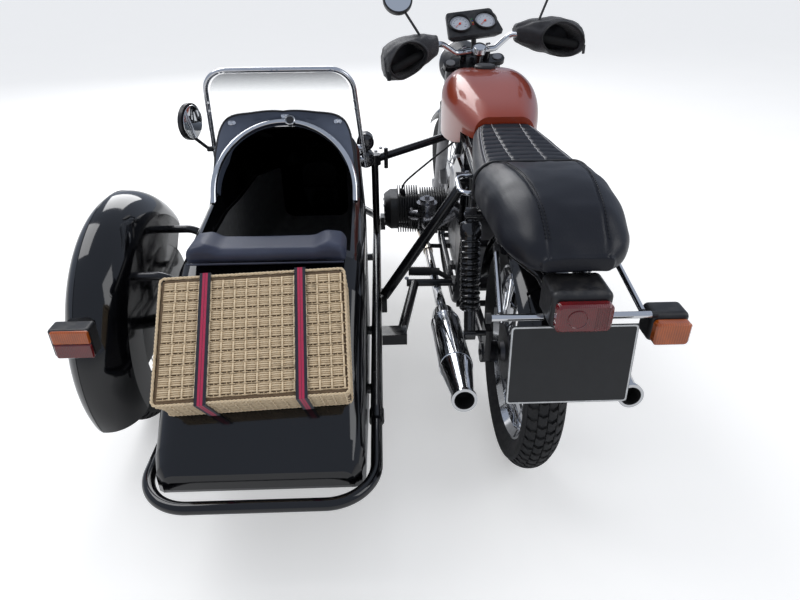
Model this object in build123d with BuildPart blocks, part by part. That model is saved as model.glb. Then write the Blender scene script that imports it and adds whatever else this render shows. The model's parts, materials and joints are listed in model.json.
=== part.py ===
"""A sidecar outfit: a shaft-drive flat-twin motorcycle with a single-seat sidecar on its left."""
from build123d import *
import math
import os

# Millimetres. While it is modelled, the rear wheel stands on the floor at x = 0, y = 0.
# +Y is forward, +X is the rider's right, +Z is up. At the end the whole outfit is moved so
# that its origin is on the floor under the middle of its overall box.

# Wheels and steering
wheelbase = 1465
rake = 28
trail = 95
steer_as_parked = 11
rear_tyre_radius = 322
rear_tyre_width = 104
rear_rim_radius = 244
front_tyre_radius = 328
front_tyre_width = 84
front_rim_radius = 256
side_tyre_radius = 316
side_tyre_width = 92
side_rim_radius = 244
side_wheel_x = -1130
side_wheel_lead = 240
rim_width = 62
axle_radius = 9
running_clearance = 0.05
seat_gap = 0.3
spokes_per_wheel = 32

# Motorcycle
frame_tube = 15
cradle_half_width = 125
cradle_height = 222
backbone_tube = 30
head_low = 850
head_high = 1015
head_radius = 30
stem_radius = 13
fork_spread = 95
fork_tube_offset = 42
fork_tube_radius = 18
fork_slider_radius = 26
cylinder_y = 860
cylinder_z = 418
cylinder_stagger = 16
block_half_width = 112
cover_reach = 373
silencer_x = 197
silencer_radius = 43
shock_x = 150
seat_half_width = 148
tank_half_width = 158

# Sidecar
body_x = -660
body_wall = 8
body_floor = 262
chassis_tube = 16
bumper_tube = 14
inner_rail_x = -405
outer_rail_x = -915
rail_height = 290
bumper_rear = -501
bumper_join = -204
hamper_width = 410
hamper_length = 288
hamper_height = 110
strap_width = 24
strap_thickness = 2

nodes = {}
steered = {}


def rod(start, end, radius):
    """A straight round bar from one point to another."""
    start = Vector(*start)
    axis = Vector(*end) - start
    with BuildPart() as bar:
        with BuildSketch(Plane(origin=start, z_dir=axis)):
            Circle(radius)
        extrude(amount=axis.length)
    return bar.part


def tube(points, bend, radius):
    """A round bar along straight runs joined by arcs of one radius, or of a list of radii."""
    with BuildPart() as bar:
        with BuildLine() as route:
            FilletPolyline(*points, radius=bend)
        with BuildSketch(Plane(origin=route.line @ 0, z_dir=route.line % 0)):
            Circle(radius)
        sweep()
    return bar.part


def block(low, high, edge=0):
    """A box between two corners, with its edges rounded if asked."""
    size = [b - a for a, b in zip(low, high)]
    middle = [(a + b) / 2 for a, b in zip(low, high)]
    with BuildPart() as solid:
        with Locations(tuple(middle)):
            Box(*size)
        if edge:
            fillet(solid.edges(), edge)
    return solid.part


def loft_along_y(sections, smooth=False):
    """A solid through rows of (y, middle x, half width, low z, high z, top corner, low corner)."""
    with BuildPart() as solid:
        for y, middle, half, low, high, top_corner, low_corner in sections:
            with BuildSketch(Plane(origin=(middle, y, 0), x_dir=(1, 0, 0), z_dir=(0, -1, 0))):
                with BuildLine():
                    Polyline((-half, low), (half, low), (half, high), (-half, high), close=True)
                face = make_face()
                fillet(face.vertices().group_by(Axis.Y)[-1], top_corner)
                fillet(face.vertices().group_by(Axis.Y)[0], low_corner)
        loft(ruled=not smooth)
    return solid.part


def mirrored(part):
    """The same solid on the motorcycle's other side."""
    return mirror(part, about=Plane.YZ)


def spoke(index, flange_x, hub_reach, rim_reach):
    """One laced spoke, a hexagonal bar from a hub flange to the rim."""
    side = 1 if index % 2 else -1
    lean = 24 if index % 4 < 2 else -24
    out = math.radians(360 * index / spokes_per_wheel)
    root = out + math.radians(lean)
    start = Vector(side * flange_x, hub_reach * math.cos(root), hub_reach * math.sin(root))
    end = Vector(side * 4, rim_reach * math.cos(out), rim_reach * math.sin(out))
    with BuildPart() as bar:
        with BuildSketch(Plane(origin=start, z_dir=end - start)):
            RegularPolygon(2.3, 6)
        extrude(amount=(end - start).length)
    return bar.part


def wheel(rim_radius, hub_radius, hub_half, drum_radius, drum_side):
    """Rim, hub and laced spokes about the X axis, bored for its axle."""
    flange = hub_half - 12
    half = rim_width / 2
    spokes = [spoke(index, flange - 2, hub_radius - 4, rim_radius - 20)
              for index in range(spokes_per_wheel)]
    with BuildPart() as result:
        with BuildSketch(Plane.XY):
            with BuildLine():
                Polyline((-half, rim_radius), (-half, rim_radius - 6), (-half / 2, rim_radius - 24),
                         (half / 2, rim_radius - 24), (half, rim_radius - 6), (half, rim_radius),
                         (half - 4, rim_radius), (half / 2, rim_radius - 14),
                         (-half / 2, rim_radius - 14), (4 - half, rim_radius), close=True)
            make_face()
        revolve(axis=Axis.X)
        with BuildSketch(Plane.XY):
            with BuildLine():
                Polyline((-hub_half, 0), (-hub_half, 26), (-flange, 30), (-flange, hub_radius),
                         (4 - flange, hub_radius), (10 - flange, hub_radius * 0.6),
                         (flange - 10, hub_radius * 0.6), (flange - 4, hub_radius),
                         (flange, hub_radius), (flange, 30), (hub_half, 26), (hub_half, 0),
                         close=True)
            make_face()
        revolve(axis=Axis.X)
        if drum_side:
            drum_low, drum_high = sorted((drum_side * (flange - 34), drum_side * (flange + 6)))
            with BuildSketch(Plane.YZ.offset(drum_low)):
                Circle(drum_radius)
            extrude(amount=drum_high - drum_low)
        add(spokes)
        with BuildSketch(Plane.YZ.offset(-hub_half - 1)):
            Circle(axle_radius + running_clearance)
        extrude(amount=2 * hub_half + 2, mode=Mode.SUBTRACT)
    return result.part


def tyre(radius, width, rim_radius):
    """A tyre about the X axis: a flat foot on the rim, bulged walls and a round crown."""
    half = width / 2
    foot = rim_width / 2 - 1
    inner = rim_radius + 0.2
    shoulder = radius - 0.30 * (radius - inner)
    with BuildPart() as result:
        with BuildSketch(Plane.XY):
            with BuildLine():
                Line((-foot, inner), (foot, inner))
                ThreePointArc((foot, inner), (half, (inner + shoulder) / 2), (half * 0.86, shoulder))
                ThreePointArc((half * 0.86, shoulder), (0, radius), (-half * 0.86, shoulder))
                ThreePointArc((-half * 0.86, shoulder), (-half, (inner + shoulder) / 2), (-foot, inner))
            make_face()
        revolve(axis=Axis.X)
    return result.part


def band(middle_x, centre_y, centre_z, radius, half_width, crown, wall, start, sweep_angle, skirt=0):
    """A mudguard of curved section about a wheel's axle; angles run back over the top."""
    inner = [(-half_width, radius - crown - skirt), (-half_width, radius - crown),
             (0, radius), (half_width, radius - crown), (half_width, radius - crown - skirt)]
    with BuildPart() as result:
        with BuildSketch(Plane(origin=(middle_x, centre_y, centre_z), x_dir=(1, 0, 0), z_dir=(0, 0, 1))):
            with BuildLine():
                ThreePointArc(inner[1], inner[2], inner[3])
                if skirt:
                    Line(inner[3], inner[4])
                    Line(inner[4], (half_width + wall, inner[4][1]))
                    Line((half_width + wall, inner[4][1]), (half_width + wall, inner[3][1]))
                else:
                    Line(inner[3], (half_width + wall, inner[3][1]))
                ThreePointArc((half_width + wall, inner[3][1]), (0, radius + wall),
                              (-half_width - wall, inner[1][1]))
                if skirt:
                    Line((-half_width - wall, inner[1][1]), (-half_width - wall, inner[0][1]))
                    Line((-half_width - wall, inner[0][1]), inner[0])
                    Line(inner[0], inner[1])
                else:
                    Line((-half_width - wall, inner[1][1]), inner[1])
            make_face()
        revolve(axis=Axis((middle_x, centre_y, centre_z), (1, 0, 0)), revolution_arc=sweep_angle)
    turned = result.part.rotate(Axis((middle_x, centre_y, centre_z), (1, 0, 0)), start)
    return turned


# The steering axis meets the floor ahead of the front tyre's contact by the trail.
rake_sin = math.sin(math.radians(rake))
rake_cos = math.cos(math.radians(rake))
axis_foot = Vector(0, wheelbase + trail, 0)
axis_up = Vector(0, -rake_sin, rake_cos)
fork_plane = Plane(origin=axis_foot, x_dir=(1, 0, 0), z_dir=axis_up)
steering_axis = Axis(axis_foot, axis_up)
axle_offset = front_tyre_radius * rake_sin - trail * rake_cos
axle_along = (front_tyre_radius - axle_offset * rake_sin) / rake_cos


def on_fork(x, forward, along):
    """A point given in the fork's own directions."""
    return fork_plane.from_local_coords(Vector(x, forward, along))


def axis_y(z):
    """How far forward the steering axis is at a height."""
    return wheelbase + trail - z * rake_sin / rake_cos


# Rear wheel
rear_hub_half = 58
nodes["rear_wheel"] = wheel(rear_rim_radius, 78, rear_hub_half, 104, 1).moved(
    Location((0, 0, rear_tyre_radius)))
nodes["rear_tyre"] = tyre(rear_tyre_radius, rear_tyre_width, rear_rim_radius).moved(
    Location((0, 0, rear_tyre_radius)))

# Front wheel
front_hub_half = 55
front_axle = Vector(0, wheelbase, front_tyre_radius)
steered["front_wheel"] = wheel(front_rim_radius, 62, front_hub_half, 0, 0).moved(Location(front_axle))
with BuildPart() as disc:
    with BuildSketch(Plane.YZ.offset(-front_hub_half + 3)):
        Circle(130)
        Circle(20, mode=Mode.SUBTRACT)
    extrude(amount=5)
steered["front_wheel"] = steered["front_wheel"].fuse(disc.part.moved(Location(front_axle)))
steered["front_tyre"] = tyre(front_tyre_radius, front_tyre_width, front_rim_radius).moved(
    Location(front_axle))

# Sidecar wheel
side_hub_half = 58
side_axle = Vector(side_wheel_x, side_wheel_lead, side_tyre_radius)
nodes["sidecar_wheel"] = wheel(side_rim_radius, 78, side_hub_half, 96, 1).moved(Location(side_axle))
nodes["sidecar_tyre"] = tyre(side_tyre_radius, side_tyre_width, side_rim_radius).moved(Location(side_axle))

# Motorcycle frame: head, backbone, two cradle loops, seat rails and their struts
seat_rail_x = 108
seat_base = 747
guard_ring = 350
guard_skin = 3
shock_top = (shock_x, 65, 712)
shock_foot = (shock_x, -30, 405)
strut_lug_reach = -62
lug_front_high = (985, 690)
with BuildPart() as bike_frame:
    add(rod(axis_foot + axis_up * head_low, axis_foot + axis_up * head_high, head_radius))
    add(tube([(0, axis_y(830) - 6, 830), (0, 900, 820), (0, 470, 765)], 200, backbone_tube - 8))
    for side in (-1, 1):
        x = side * cradle_half_width
        add(tube([(side * 14, axis_y(800) - 24, 800), (side * 62, 1072, 560), (x, 1058, cradle_height),
                  (x, 440, cradle_height), (side * 112, 400, 500), (side * seat_rail_x, 440, 770)],
                 [120, 60, 60, 120], frame_tube))
        add(tube([(side * 20, axis_y(815) - 12, 815), (side * 88, 900, 762), (side * seat_rail_x, 440, 770)],
                 150, frame_tube - 2))
        add(tube([(side * seat_rail_x, 440, 770), (side * seat_rail_x, 120, 735),
                  (side * seat_rail_x, -190, 728)], 300, 12))
        add(tube([(side * 114, 420, 420), (side * 112, 250, 640), (side * seat_rail_x, 60, 735)], 200, 11))
        low, high = sorted((side * (seat_rail_x - 8), side * (seat_rail_x + 14)))
        add(block((low, shock_top[1] - 12, shock_top[2] - 12), (high, shock_top[1] + 12, 734)))
        add(rod((side * seat_rail_x, shock_top[1], shock_top[2]), (side * (shock_x + 16), shock_top[1], shock_top[2]), 7.9))
    for y, z in ((440, 770), (60, 733), (-175, 728), (440, cradle_height), (1040, cradle_height)):
        reach = cradle_half_width if z < 400 else seat_rail_x
        add(rod((-reach, y, z), (reach, y, z), 11))
    for side in (-1, 1):
        add(rod((side * 100, 620, 767), (side * 100, 620, 802 - seat_gap), 10))
        add(rod((side * seat_rail_x, -90, 730), (side * seat_rail_x, -90, seat_base - 2 * seat_gap), 8))
        add(tube([(side * seat_rail_x, -175, 728), (side * 45, -260, 700), (side * 45, -321 + seat_gap, 700)], 40, 9))
        low, high = sorted((side * (98 + seat_gap), side * (cradle_half_width - 4)))
        for y in (740, 940):
            add(block((low, y - 20, 214), (high, y + 20, 236)))
    add(block((-cradle_half_width - 17, 425, 280), (-116, 486, 312)))
    add(rod((-112, 404, 470), (112, 404, 470), 12))
    for y, z in ((60, 733), (-175, 728), (404, 470)):
        hub = Vector(0, 0, rear_tyre_radius)
        out = (Vector(0, y, z) - hub).normalized()
        add(rod(hub + out * (guard_ring + guard_skin + seat_gap), Vector(0, y, z), 9))
nodes["bike_frame"] = bike_frame.part

# Engine: crankcase with front cover, sump, bell housing and gearbox, open to view
with BuildPart() as engine_block:
    add(block((-block_half_width + 10, 700, 250), (block_half_width - 10, 1000, 560), 22))
    for side in (-1, 1):
        add(rod((side * 60, cylinder_y, cylinder_z), (side * (block_half_width + 4), cylinder_y, cylinder_z), 78))
    add(block((-88, 990, 300), (88, 1030, 590), 18))
    add(block((-70, 640, 520), (70, 960, 616), 24))
    add(block((-98, 690, 196), (98, 990, 262), 10))
    add(loft_along_y([(705, 0, 100, 262, 548, 40, 40), (640, 0, 92, 270, 520, 40, 40),
                      (470, 0, 72, 280, 450, 30, 30)]))
    add(rod((0, 480, 345), (0, 466, 345), 58))
nodes["engine_block"] = engine_block.part


def cylinder(side):
    """One finned barrel, head and rocker cover, lying across the frame."""
    middle_y = cylinder_y + side * -cylinder_stagger / 2
    root = block_half_width + 4 + seat_gap
    fins = [(root + 14, 11, 74, 70, 30), (root + 124, 9, 88, 76, 34)]
    with BuildPart() as result:
        add(rod((root, middle_y, cylinder_z), (root + 210, middle_y, cylinder_z), 56))
        for first, count, half_y, half_z, corner in fins:
            planes = [Plane(origin=(first + 9.5 * i, middle_y, cylinder_z), x_dir=(0, 1, 0), z_dir=(1, 0, 0))
                      for i in range(count)]
            with BuildSketch(*planes):
                RectangleRounded(2 * half_y, 2 * half_z, corner)
            extrude(amount=3)
        with BuildSketch(Plane(origin=(root + 204, middle_y, cylinder_z), x_dir=(0, 1, 0), z_dir=(1, 0, 0))):
            RectangleRounded(168, 128, 40)
        extrude(amount=cover_reach - root - 204 - 26)
        with BuildSketch(Plane(origin=(cover_reach - 26, middle_y, cylinder_z), x_dir=(0, 1, 0), z_dir=(1, 0, 0))):
            RectangleRounded(168, 128, 40)
        extrude(amount=22, taper=35)
        add([block((cover_reach - 34, middle_y - 66, cylinder_z + offset - 3),
                   (cover_reach, middle_y + 66, cylinder_z + offset + 3)) for offset in (-36, -18, 0, 18, 36)])
        add([rod((root, middle_y + y, cylinder_z - 84), (root + 140, middle_y + y, cylinder_z - 70), 9)
             for y in (-22, 22)])
    if side < 0:
        return mirrored(result.part)
    return result.part


nodes["cylinders"] = Compound(children=[cylinder(-1), cylinder(1)])

# Carburettors with their domes, inlet stubs and the hoses back to the air box
carburettor_x = 215
carburettor_y = 700
port_x = 268


def carburettor(side):
    middle_y = carburettor_y
    head_back = cylinder_y + side * -cylinder_stagger / 2 - 88 - seat_gap
    with BuildPart() as result:
        add(tube([(port_x, head_back, 436), (port_x, head_back - 24, 436), (carburettor_x, 700, 452)], 20, 19))
        add(rod((carburettor_x, 700, 448), (carburettor_x, 640, 448), 21))
        add(rod((carburettor_x, middle_y, 405), (carburettor_x, middle_y, 498), 34))
        add(rod((carburettor_x, middle_y, 498), (carburettor_x, middle_y, 506), 38))
        add(rod((carburettor_x, middle_y, 506), (carburettor_x, middle_y, 520), 27))
        add(rod((carburettor_x, middle_y, 520), (carburettor_x, middle_y, 530), 9))
        add(rod((carburettor_x, middle_y, 378), (carburettor_x, middle_y, 406), 26))
        add(tube([(carburettor_x, 650, 448), (carburettor_x, 606, 448), (68, 566, 562)], 45, 24))
    if side < 0:
        return mirrored(result.part)
    return result.part


with BuildPart() as air_box:
    add(block((-76, 500, 526), (76, 632, 612), 16))
    add(carburettor(-1))
    add(carburettor(1))
nodes["carburettors"] = air_box.part

# Exhausts: header, long silencer that rises to the rear, end cone and flared ring
silencer_front = Vector(silencer_x, 243, 320)
silencer_tip = Vector(silencer_x, -297, 392)
silencer_axis = (silencer_tip - silencer_front).normalized()


def silencer_point(along):
    return silencer_front + silencer_axis * along


def exhaust(side):
    port_y = cylinder_y - side * cylinder_stagger / 2 + 88 + seat_gap
    length = (silencer_tip - silencer_front).length
    profile = [(0, 0), (0, 19), (40, 33), (110, silencer_radius), (length - 170, silencer_radius),
               (length - 60, 30), (length - 14, 24), (length - 10, 31), (length, 31), (length, 24),
               (length - 40, 20), (length - 40, 0)]
    plane = Plane(origin=silencer_front, x_dir=silencer_axis, z_dir=(1, 0, 0))
    with BuildPart() as result:
        with BuildSketch(plane):
            with BuildLine():
                Polyline(*profile, close=True)
            make_face()
        revolve(axis=Axis(silencer_front, silencer_axis))
        add(tube([(port_x, port_y, 404), (port_x, port_y + 60, 404), (214, port_y + 40, 258),
                  (196, 860, 240)], 40, 16))
        add(tube([(196, 857, 240), (188, 480, 248), tuple(silencer_point(-60)), tuple(silencer_point(20))],
                 [80, 120], 16))
        add(rod((197, 880, 241), (195.6, 838, 239.8), 20))
        add(rod((port_x, port_y, 404), (port_x, port_y + 22, 404), 30))
    if side < 0:
        return mirrored(result.part)
    return result.part


nodes["exhausts"] = Compound(children=[exhaust(-1), exhaust(1)])

# Fuel tank and its cap
tank_sections = [(1046, 0, 40, 848, 886, 17, 15), (1010, 0, 84, 812, 914, 44, 30),
                 (940, 0, 130, 768, 934, 66, 40), (840, 0, tank_half_width, 744, 942, 84, 46),
                 (700, 0, tank_half_width - 2, 742, 930, 86, 46), (560, 0, 128, 764, 902, 76, 40),
                 (454, 0, 92, 796, 868, 44, 24)]
tank_tunnel = 27
with BuildPart() as fuel_tank:
    add(loft_along_y(tank_sections, smooth=True))
    add(tube([(0, 1140, 842), (0, 900, 820), (0, 470, 765), (0, 380, 753)], 150, tank_tunnel), mode=Mode.SUBTRACT)
    add(block((-tank_tunnel, 400, 700), (tank_tunnel, 1140, 820)), mode=Mode.SUBTRACT)
    add(block((-124, 400, 700), (124, 1140, 802)), mode=Mode.SUBTRACT)
nodes["fuel_tank"] = fuel_tank.part
cap_y = 884
cap_foot = 936
with BuildPart() as filler_cap:
    add(rod((0, cap_y, cap_foot), (0, cap_y, cap_foot + 17), 38))
    chamfer(filler_cap.edges().group_by(Axis.Z)[-1], 5)
    add(fuel_tank.part, mode=Mode.SUBTRACT)
nodes["filler_cap"] = filler_cap.part

# Seat and its rounded tail, one soft solid
seat_seam_y = 60
seat_sections = [(452, 0, 90, 794, 850, 34, 20), (400, 0, 104, 788, 844, 30, 20),
                 (220, 0, 128, 764, 838, 34, 24), (seat_seam_y, 0, seat_half_width - 4, seat_base + 2, 842, 44, 26)]
hump_sections = [(seat_seam_y, 0, seat_half_width, seat_base, 850, 54, 28),
                 (-30, 0, seat_half_width, seat_base, 874, 80, 30),
                 (-150, 0, seat_half_width - 4, seat_base, 884, 92, 34),
                 (-260, 0, 132, seat_base, 862, 80, 34), (-330, 0, 104, seat_base + 2, 818, 40, 30),
                 (-362, 0, 66, 758, 786, 13, 12)]
with BuildPart() as seat:
    add(loft_along_y(seat_sections, smooth=True))
    add(loft_along_y(hump_sections, smooth=True))
nodes["seat"] = seat.part

# Side panels under the seat
with BuildPart() as side_panel:
    with BuildSketch(Plane.YZ.offset(cradle_half_width + 2)):
        with BuildLine():
            Polyline((374, 545), (530, 545), (560, 690), (500, 732), (374, 732), close=True)
        panel = make_face()
        fillet(panel.vertices(), 18)
    extrude(amount=11)
nodes["side_panels"] = Compound(children=[side_panel.part, mirrored(side_panel.part)])

# Rear mudguard
nodes["rear_mudguard"] = band(0, 0, rear_tyre_radius, guard_ring, 66, 26, guard_skin, 12, 140)

# Tail lamp, cross tube, right indicator, lenses and the blank plate
lamp_back = -417
lamp_height = 698
bar_height = 664
plate_thickness = 3
plate_place = Location((0, -402, 566), (-5, 0, 0))
with BuildPart() as rear_lamp_housing:
    add(block((-60, lamp_back, 660), (60, lamp_back + 96, 742), 14))
    add(rod((-168, -371, bar_height), (172, -371, bar_height), 7))
    add(rod((-176, -371, bar_height), (-166, -371, bar_height), 11))
    for side in (-1, 1):
        lug = seat_rail_x + 12 + seat_gap
        add(rod((side * lug, -180, 728), (side * (lug + 12), -180, 728), 10))
        add(rod((side * (lug + 7), -180, 726), (side * 146, -371, bar_height), 6))
    add(block((160, -378, 600), (240, -320, 668), 12))
    add(plate_place * block((-30, plate_thickness / 2, -50), (30, 60, 104)))
nodes["rear_lamp_housing"] = rear_lamp_housing.part
nodes["number_plate"] = plate_place * block((-129, -plate_thickness / 2, -92), (129, plate_thickness / 2, 92))

# Swing arm with drive-shaft housing, bevel box and the rear axle
pivot_y = 440
pivot_z = 300
with BuildPart() as swing_arm:
    add(rod((-98, pivot_y, pivot_z), (98, pivot_y, pivot_z), 24))
    add(tube([(-84, pivot_y, pivot_z), (-88, 250, 308), (-88, 14, rear_tyre_radius)], 300, 18))
    add(tube([(79, pivot_y, pivot_z), (94, 250, 308), (94, 60, rear_tyre_radius)], 300, 24))
    add(rod((rear_hub_half + 6, 0, rear_tyre_radius), (120, 0, rear_tyre_radius), 82))
    add(rod((-112, 0, rear_tyre_radius), (-rear_hub_half - 6, 0, rear_tyre_radius), 30))
    add(rod((-116, 0, rear_tyre_radius), (118, 0, rear_tyre_radius), axle_radius))
    for side in (-1, 1):
        low, high = sorted((side * 92, side * 108))
        add(block((low, -46, rear_tyre_radius), (high, 10, shock_foot[2] + 14), 0))
        add(rod((side * 92, shock_foot[1], shock_foot[2]), (side * (shock_x + 16), shock_foot[1], shock_foot[2]), 7.9))
nodes["swing_arm"] = swing_arm.part

# Rear shocks: eyes, chrome cap, ridged spring sleeve and damper body
spring_turns = 13


def shock():
    foot = Vector(*shock_foot)
    top = Vector(*shock_top)
    axis = (top - foot).normalized()
    length = (top - foot).length
    spring_low = 72
    spring_high = length - 52
    pitch = (spring_high - spring_low) / spring_turns
    profile = [(12, 0), (12, 16), (spring_low - 4, 16), (spring_low - 4, 26), (spring_low, 26)]
    for turn in range(spring_turns):
        start = spring_low + turn * pitch
        profile += [(start + 0.15 * pitch, 25), (start + 0.7 * pitch, 25), (start + 0.85 * pitch, 19)]
    profile += [(spring_high, 19), (spring_high, 27), (length - 26, 27), (length - 20, 14),
                (length - 12, 14), (length - 12, 0)]
    with BuildPart() as result:
        with BuildSketch(Plane(origin=foot, x_dir=axis, z_dir=(1, 0, 0))):
            with BuildLine():
                Polyline(*profile, close=True)
            make_face()
        revolve(axis=Axis(foot, axis))
        for eye in (foot, top):
            add(rod(eye - Vector(14, 0, 0), eye + Vector(14, 0, 0), 18))
        for eye in (foot, top):
            add(rod(eye - Vector(40, 0, 0), eye + Vector(40, 0, 0), 8), mode=Mode.SUBTRACT)
    return result.part


nodes["rear_shocks"] = Compound(children=[shock(), mirrored(shock())])

# Lifting handle on the left, under the seat's edge
handle_x = -seat_rail_x - 12 - seat_gap
nodes["lifting_handle"] = tube([(handle_x, 256, 750), (handle_x - 48, 256, 750), (handle_x - 48, 150, 738),
                                (handle_x, 150, 738)], 26, 7)

# Fork: yokes, stem and damper knob turn in the head, legs carry the axle
bar_forward = 38
bar_rise = 62
yoke_low = head_low - 36
yoke_high = head_high + 4
with BuildPart() as fork_yokes:
    for along, thick in ((yoke_low, 32), (yoke_high, 18)):
        with BuildSketch(Plane(origin=on_fork(0, 0, along), x_dir=(1, 0, 0), z_dir=axis_up)):
            with BuildLine():
                Polyline((-fork_spread - 28, 14), (fork_spread + 28, 14), (fork_spread + 28, 66),
                         (-fork_spread - 28, 66), close=True)
            plate_face = make_face()
            fillet(plate_face.vertices(), 22)
            Circle(30)
            with Locations((0, 30)):
                Rectangle(110, 60)
            with Locations((-fork_spread, fork_tube_offset), (fork_spread, fork_tube_offset)):
                Circle(fork_tube_radius + seat_gap, mode=Mode.SUBTRACT)
        extrude(amount=thick)
    add(rod(on_fork(0, 0, yoke_low), on_fork(0, 0, yoke_high + 40), stem_radius))
    add(rod(on_fork(0, 0, yoke_high + 18), on_fork(0, 0, yoke_high + 34), 20))
    add(rod(on_fork(0, 0, yoke_high + 40), on_fork(0, 0, yoke_high + 98), 11))
    add(rod(on_fork(0, 0, yoke_high + 80), on_fork(0, 0, yoke_high + 108), 24))
    for side in (-1, 1):
        add(rod(on_fork(side * 48, bar_forward, yoke_high + 10),
                on_fork(side * 48, bar_forward, yoke_high + bar_rise - 11 - seat_gap), 13))
steered["fork_yokes"] = fork_yokes.part
nodes["bike_frame"] = nodes["bike_frame"] - rod(on_fork(0, 0, yoke_low), on_fork(0, 0, yoke_high),
                                                 stem_radius + running_clearance)

with BuildPart() as fork_leg:
    add(rod(on_fork(fork_spread, fork_tube_offset, 520), on_fork(fork_spread, fork_tube_offset, yoke_high + 22),
            fork_tube_radius))
    add(rod(on_fork(fork_spread, fork_tube_offset, axle_along - 16), on_fork(fork_spread, fork_tube_offset, 640),
            fork_slider_radius))
    add(rod(on_fork(fork_spread, fork_tube_offset, 640), on_fork(fork_spread, fork_tube_offset, 810), 27))
    add(rod(front_axle + Vector(fork_spread - 22, 0, 0), front_axle + Vector(fork_spread + 22, 0, 0), 26))
with BuildPart() as fork_legs:
    add(fork_leg.part)
    add(mirrored(fork_leg.part))
    add(rod(front_axle - Vector(fork_spread + 10, 0, 0), front_axle + Vector(fork_spread + 10, 0, 0), axle_radius))
    caliper_x = -front_hub_half + 5.5
    add(block((-fork_spread - 14, wheelbase - 118, front_tyre_radius + 30),
              (-fork_spread + 22, wheelbase - 62, front_tyre_radius + 108), 8))
    add(rod(on_fork(-fork_spread, fork_tube_offset, 420), (-fork_spread, wheelbase - 96, front_tyre_radius + 80), 14))
steered["fork_legs"] = fork_legs.part

# Front mudguard and its stays
with BuildPart() as front_mudguard:
    add(band(0, wheelbase, front_tyre_radius, 352, 52, 22, guard_skin, 45, 125))
    for side in (-1, 1):
        add(rod(on_fork(side * 48, fork_tube_offset, 670),
                on_fork(side * (fork_spread - 27 - seat_gap), fork_tube_offset, 670), 8))
steered["front_mudguard"] = front_mudguard.part

# Headlamp
lamp_middle = on_fork(0, 150, 935)
with BuildPart() as headlamp:
    with BuildSketch(Plane(origin=lamp_middle, x_dir=(0, 1, 0), z_dir=(1, 0, 0))):
        with BuildLine():
            Polyline((-72, 0), (-66, 40), (-30, 74), (20, 88), (40, 92), (52, 92), (52, 84), (62, 60),
                     (68, 0), close=True)
        make_face()
    revolve(axis=Axis(lamp_middle, (0, 1, 0)))
    for side in (-1, 1):
        add(tube([on_fork(side * fork_spread, fork_tube_offset + fork_tube_radius + seat_gap, 935),
                  on_fork(side * fork_spread, 146, 935), lamp_middle + Vector(side * 70, 0, 0)], 12, 8))
steered["headlamp"] = headlamp.part

# Handlebar, mirrors, muffs and instruments
bar_points = [(0, 0), (78, 0), (140, 46), (205, 34), (352, -6)]
bar_middle = on_fork(0, bar_forward, yoke_high + bar_rise)
bar_back = {0: 0, 78: 0, 140: -12, 205: -72, 352: -128}
bar_half = [(x, bar_middle.Y + bar_back[x], bar_middle.Z + z) for x, z in bar_points]
with BuildPart() as handlebar:
    add(tube([(-x, y, z) for x, y, z in reversed(bar_half[1:])] + bar_half[1:], [40, 40, 30, 30, 40, 40], 11))
steered["handlebar"] = handlebar.part
mirror_foot = Vector(205, bar_middle.Y - 72, bar_middle.Z + 45)
mirror_head = mirror_foot + Vector(92, 24, 165)
# Muff rows: x, back and up from the bar's middle, half depth, half height
muff_rows = ((150, -14, 46, 32, 32), (205, -44, 38, 62, 54), (262, -56, 30, 80, 66),
             (330, -72, 18, 88, 70), (384, -98, 8, 60, 50))
with BuildPart() as muff:
    for x, back, up, half_y, half_z in muff_rows:
        with BuildSketch(Plane(origin=(x, bar_middle.Y + back, bar_middle.Z + up), x_dir=(0, 1, 0), z_dir=(1, 0, 0))):
            RectangleRounded(2 * half_y, 2 * half_z, min(half_y, half_z) - 4)
    loft()
    add(tube(bar_half[1:], [40, 30], 11.3), mode=Mode.SUBTRACT)
    add(rod(mirror_foot - (mirror_head - mirror_foot) * 0.4, mirror_head, 5.5), mode=Mode.SUBTRACT)
steered["bar_muffs"] = Compound(children=[muff.part, mirrored(muff.part)])

# Mirrors on the bar, black heads on chrome stems
with BuildPart() as bar_mirror:
    add(rod(mirror_foot, mirror_head, 4.5))
    add(rod(mirror_head - Vector(0, 9, -6), mirror_head + Vector(0, 9, 6), 52))
    add(tube(bar_half[1:], [40, 30], 11.2), mode=Mode.SUBTRACT)
steered["bar_mirrors"] = Compound(children=[bar_mirror.part, mirrored(bar_mirror.part)])

# Instrument binnacle with two dials that face the rider
dial_spread = 50
binnacle_middle = on_fork(0, 107, 1160)
dial_face = Plane(origin=binnacle_middle, x_dir=(1, 0, 0), z_dir=(0, -math.cos(math.radians(52)),
                                                                  math.sin(math.radians(52))))
with BuildPart() as instrument_binnacle:
    with BuildSketch(dial_face.offset(-52)):
        with Locations((-dial_spread, 0), (dial_spread, 0)):
            Circle(38)
        Rectangle(2 * dial_spread, 56)
    extrude(amount=44)
    with BuildSketch(dial_face.offset(-8)):
        with Locations((-dial_spread, 0), (dial_spread, 0)):
            Circle(45)
    extrude(amount=14)
    add(rod(on_fork(0, 64, yoke_high + 18 + seat_gap), on_fork(0, 64, yoke_high + 62), 10))
    add(rod(on_fork(0, 64, yoke_high + 56), binnacle_middle - Vector(0, 0, 20), 10))
steered["instrument_binnacle"] = instrument_binnacle.part

# Footrests and pedals
with BuildPart() as footrest:
    add(tube([(-cradle_half_width, 500, cradle_height + frame_tube + seat_gap), (-cradle_half_width, 500, 278),
              (-190, 503, 320)], 16, 9))
    add(rod((-182, 503, 320), (-288, 503, 323), 13))
    add(tube([(-160, 502, 300), (-158, 640, 300), (-158, 716, 322)], 60, 5))
    add(rod((-154, 714, 321), (-200, 714, 323), 8))
nodes["footrests"] = Compound(children=[footrest.part, mirrored(footrest.part)])

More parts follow.
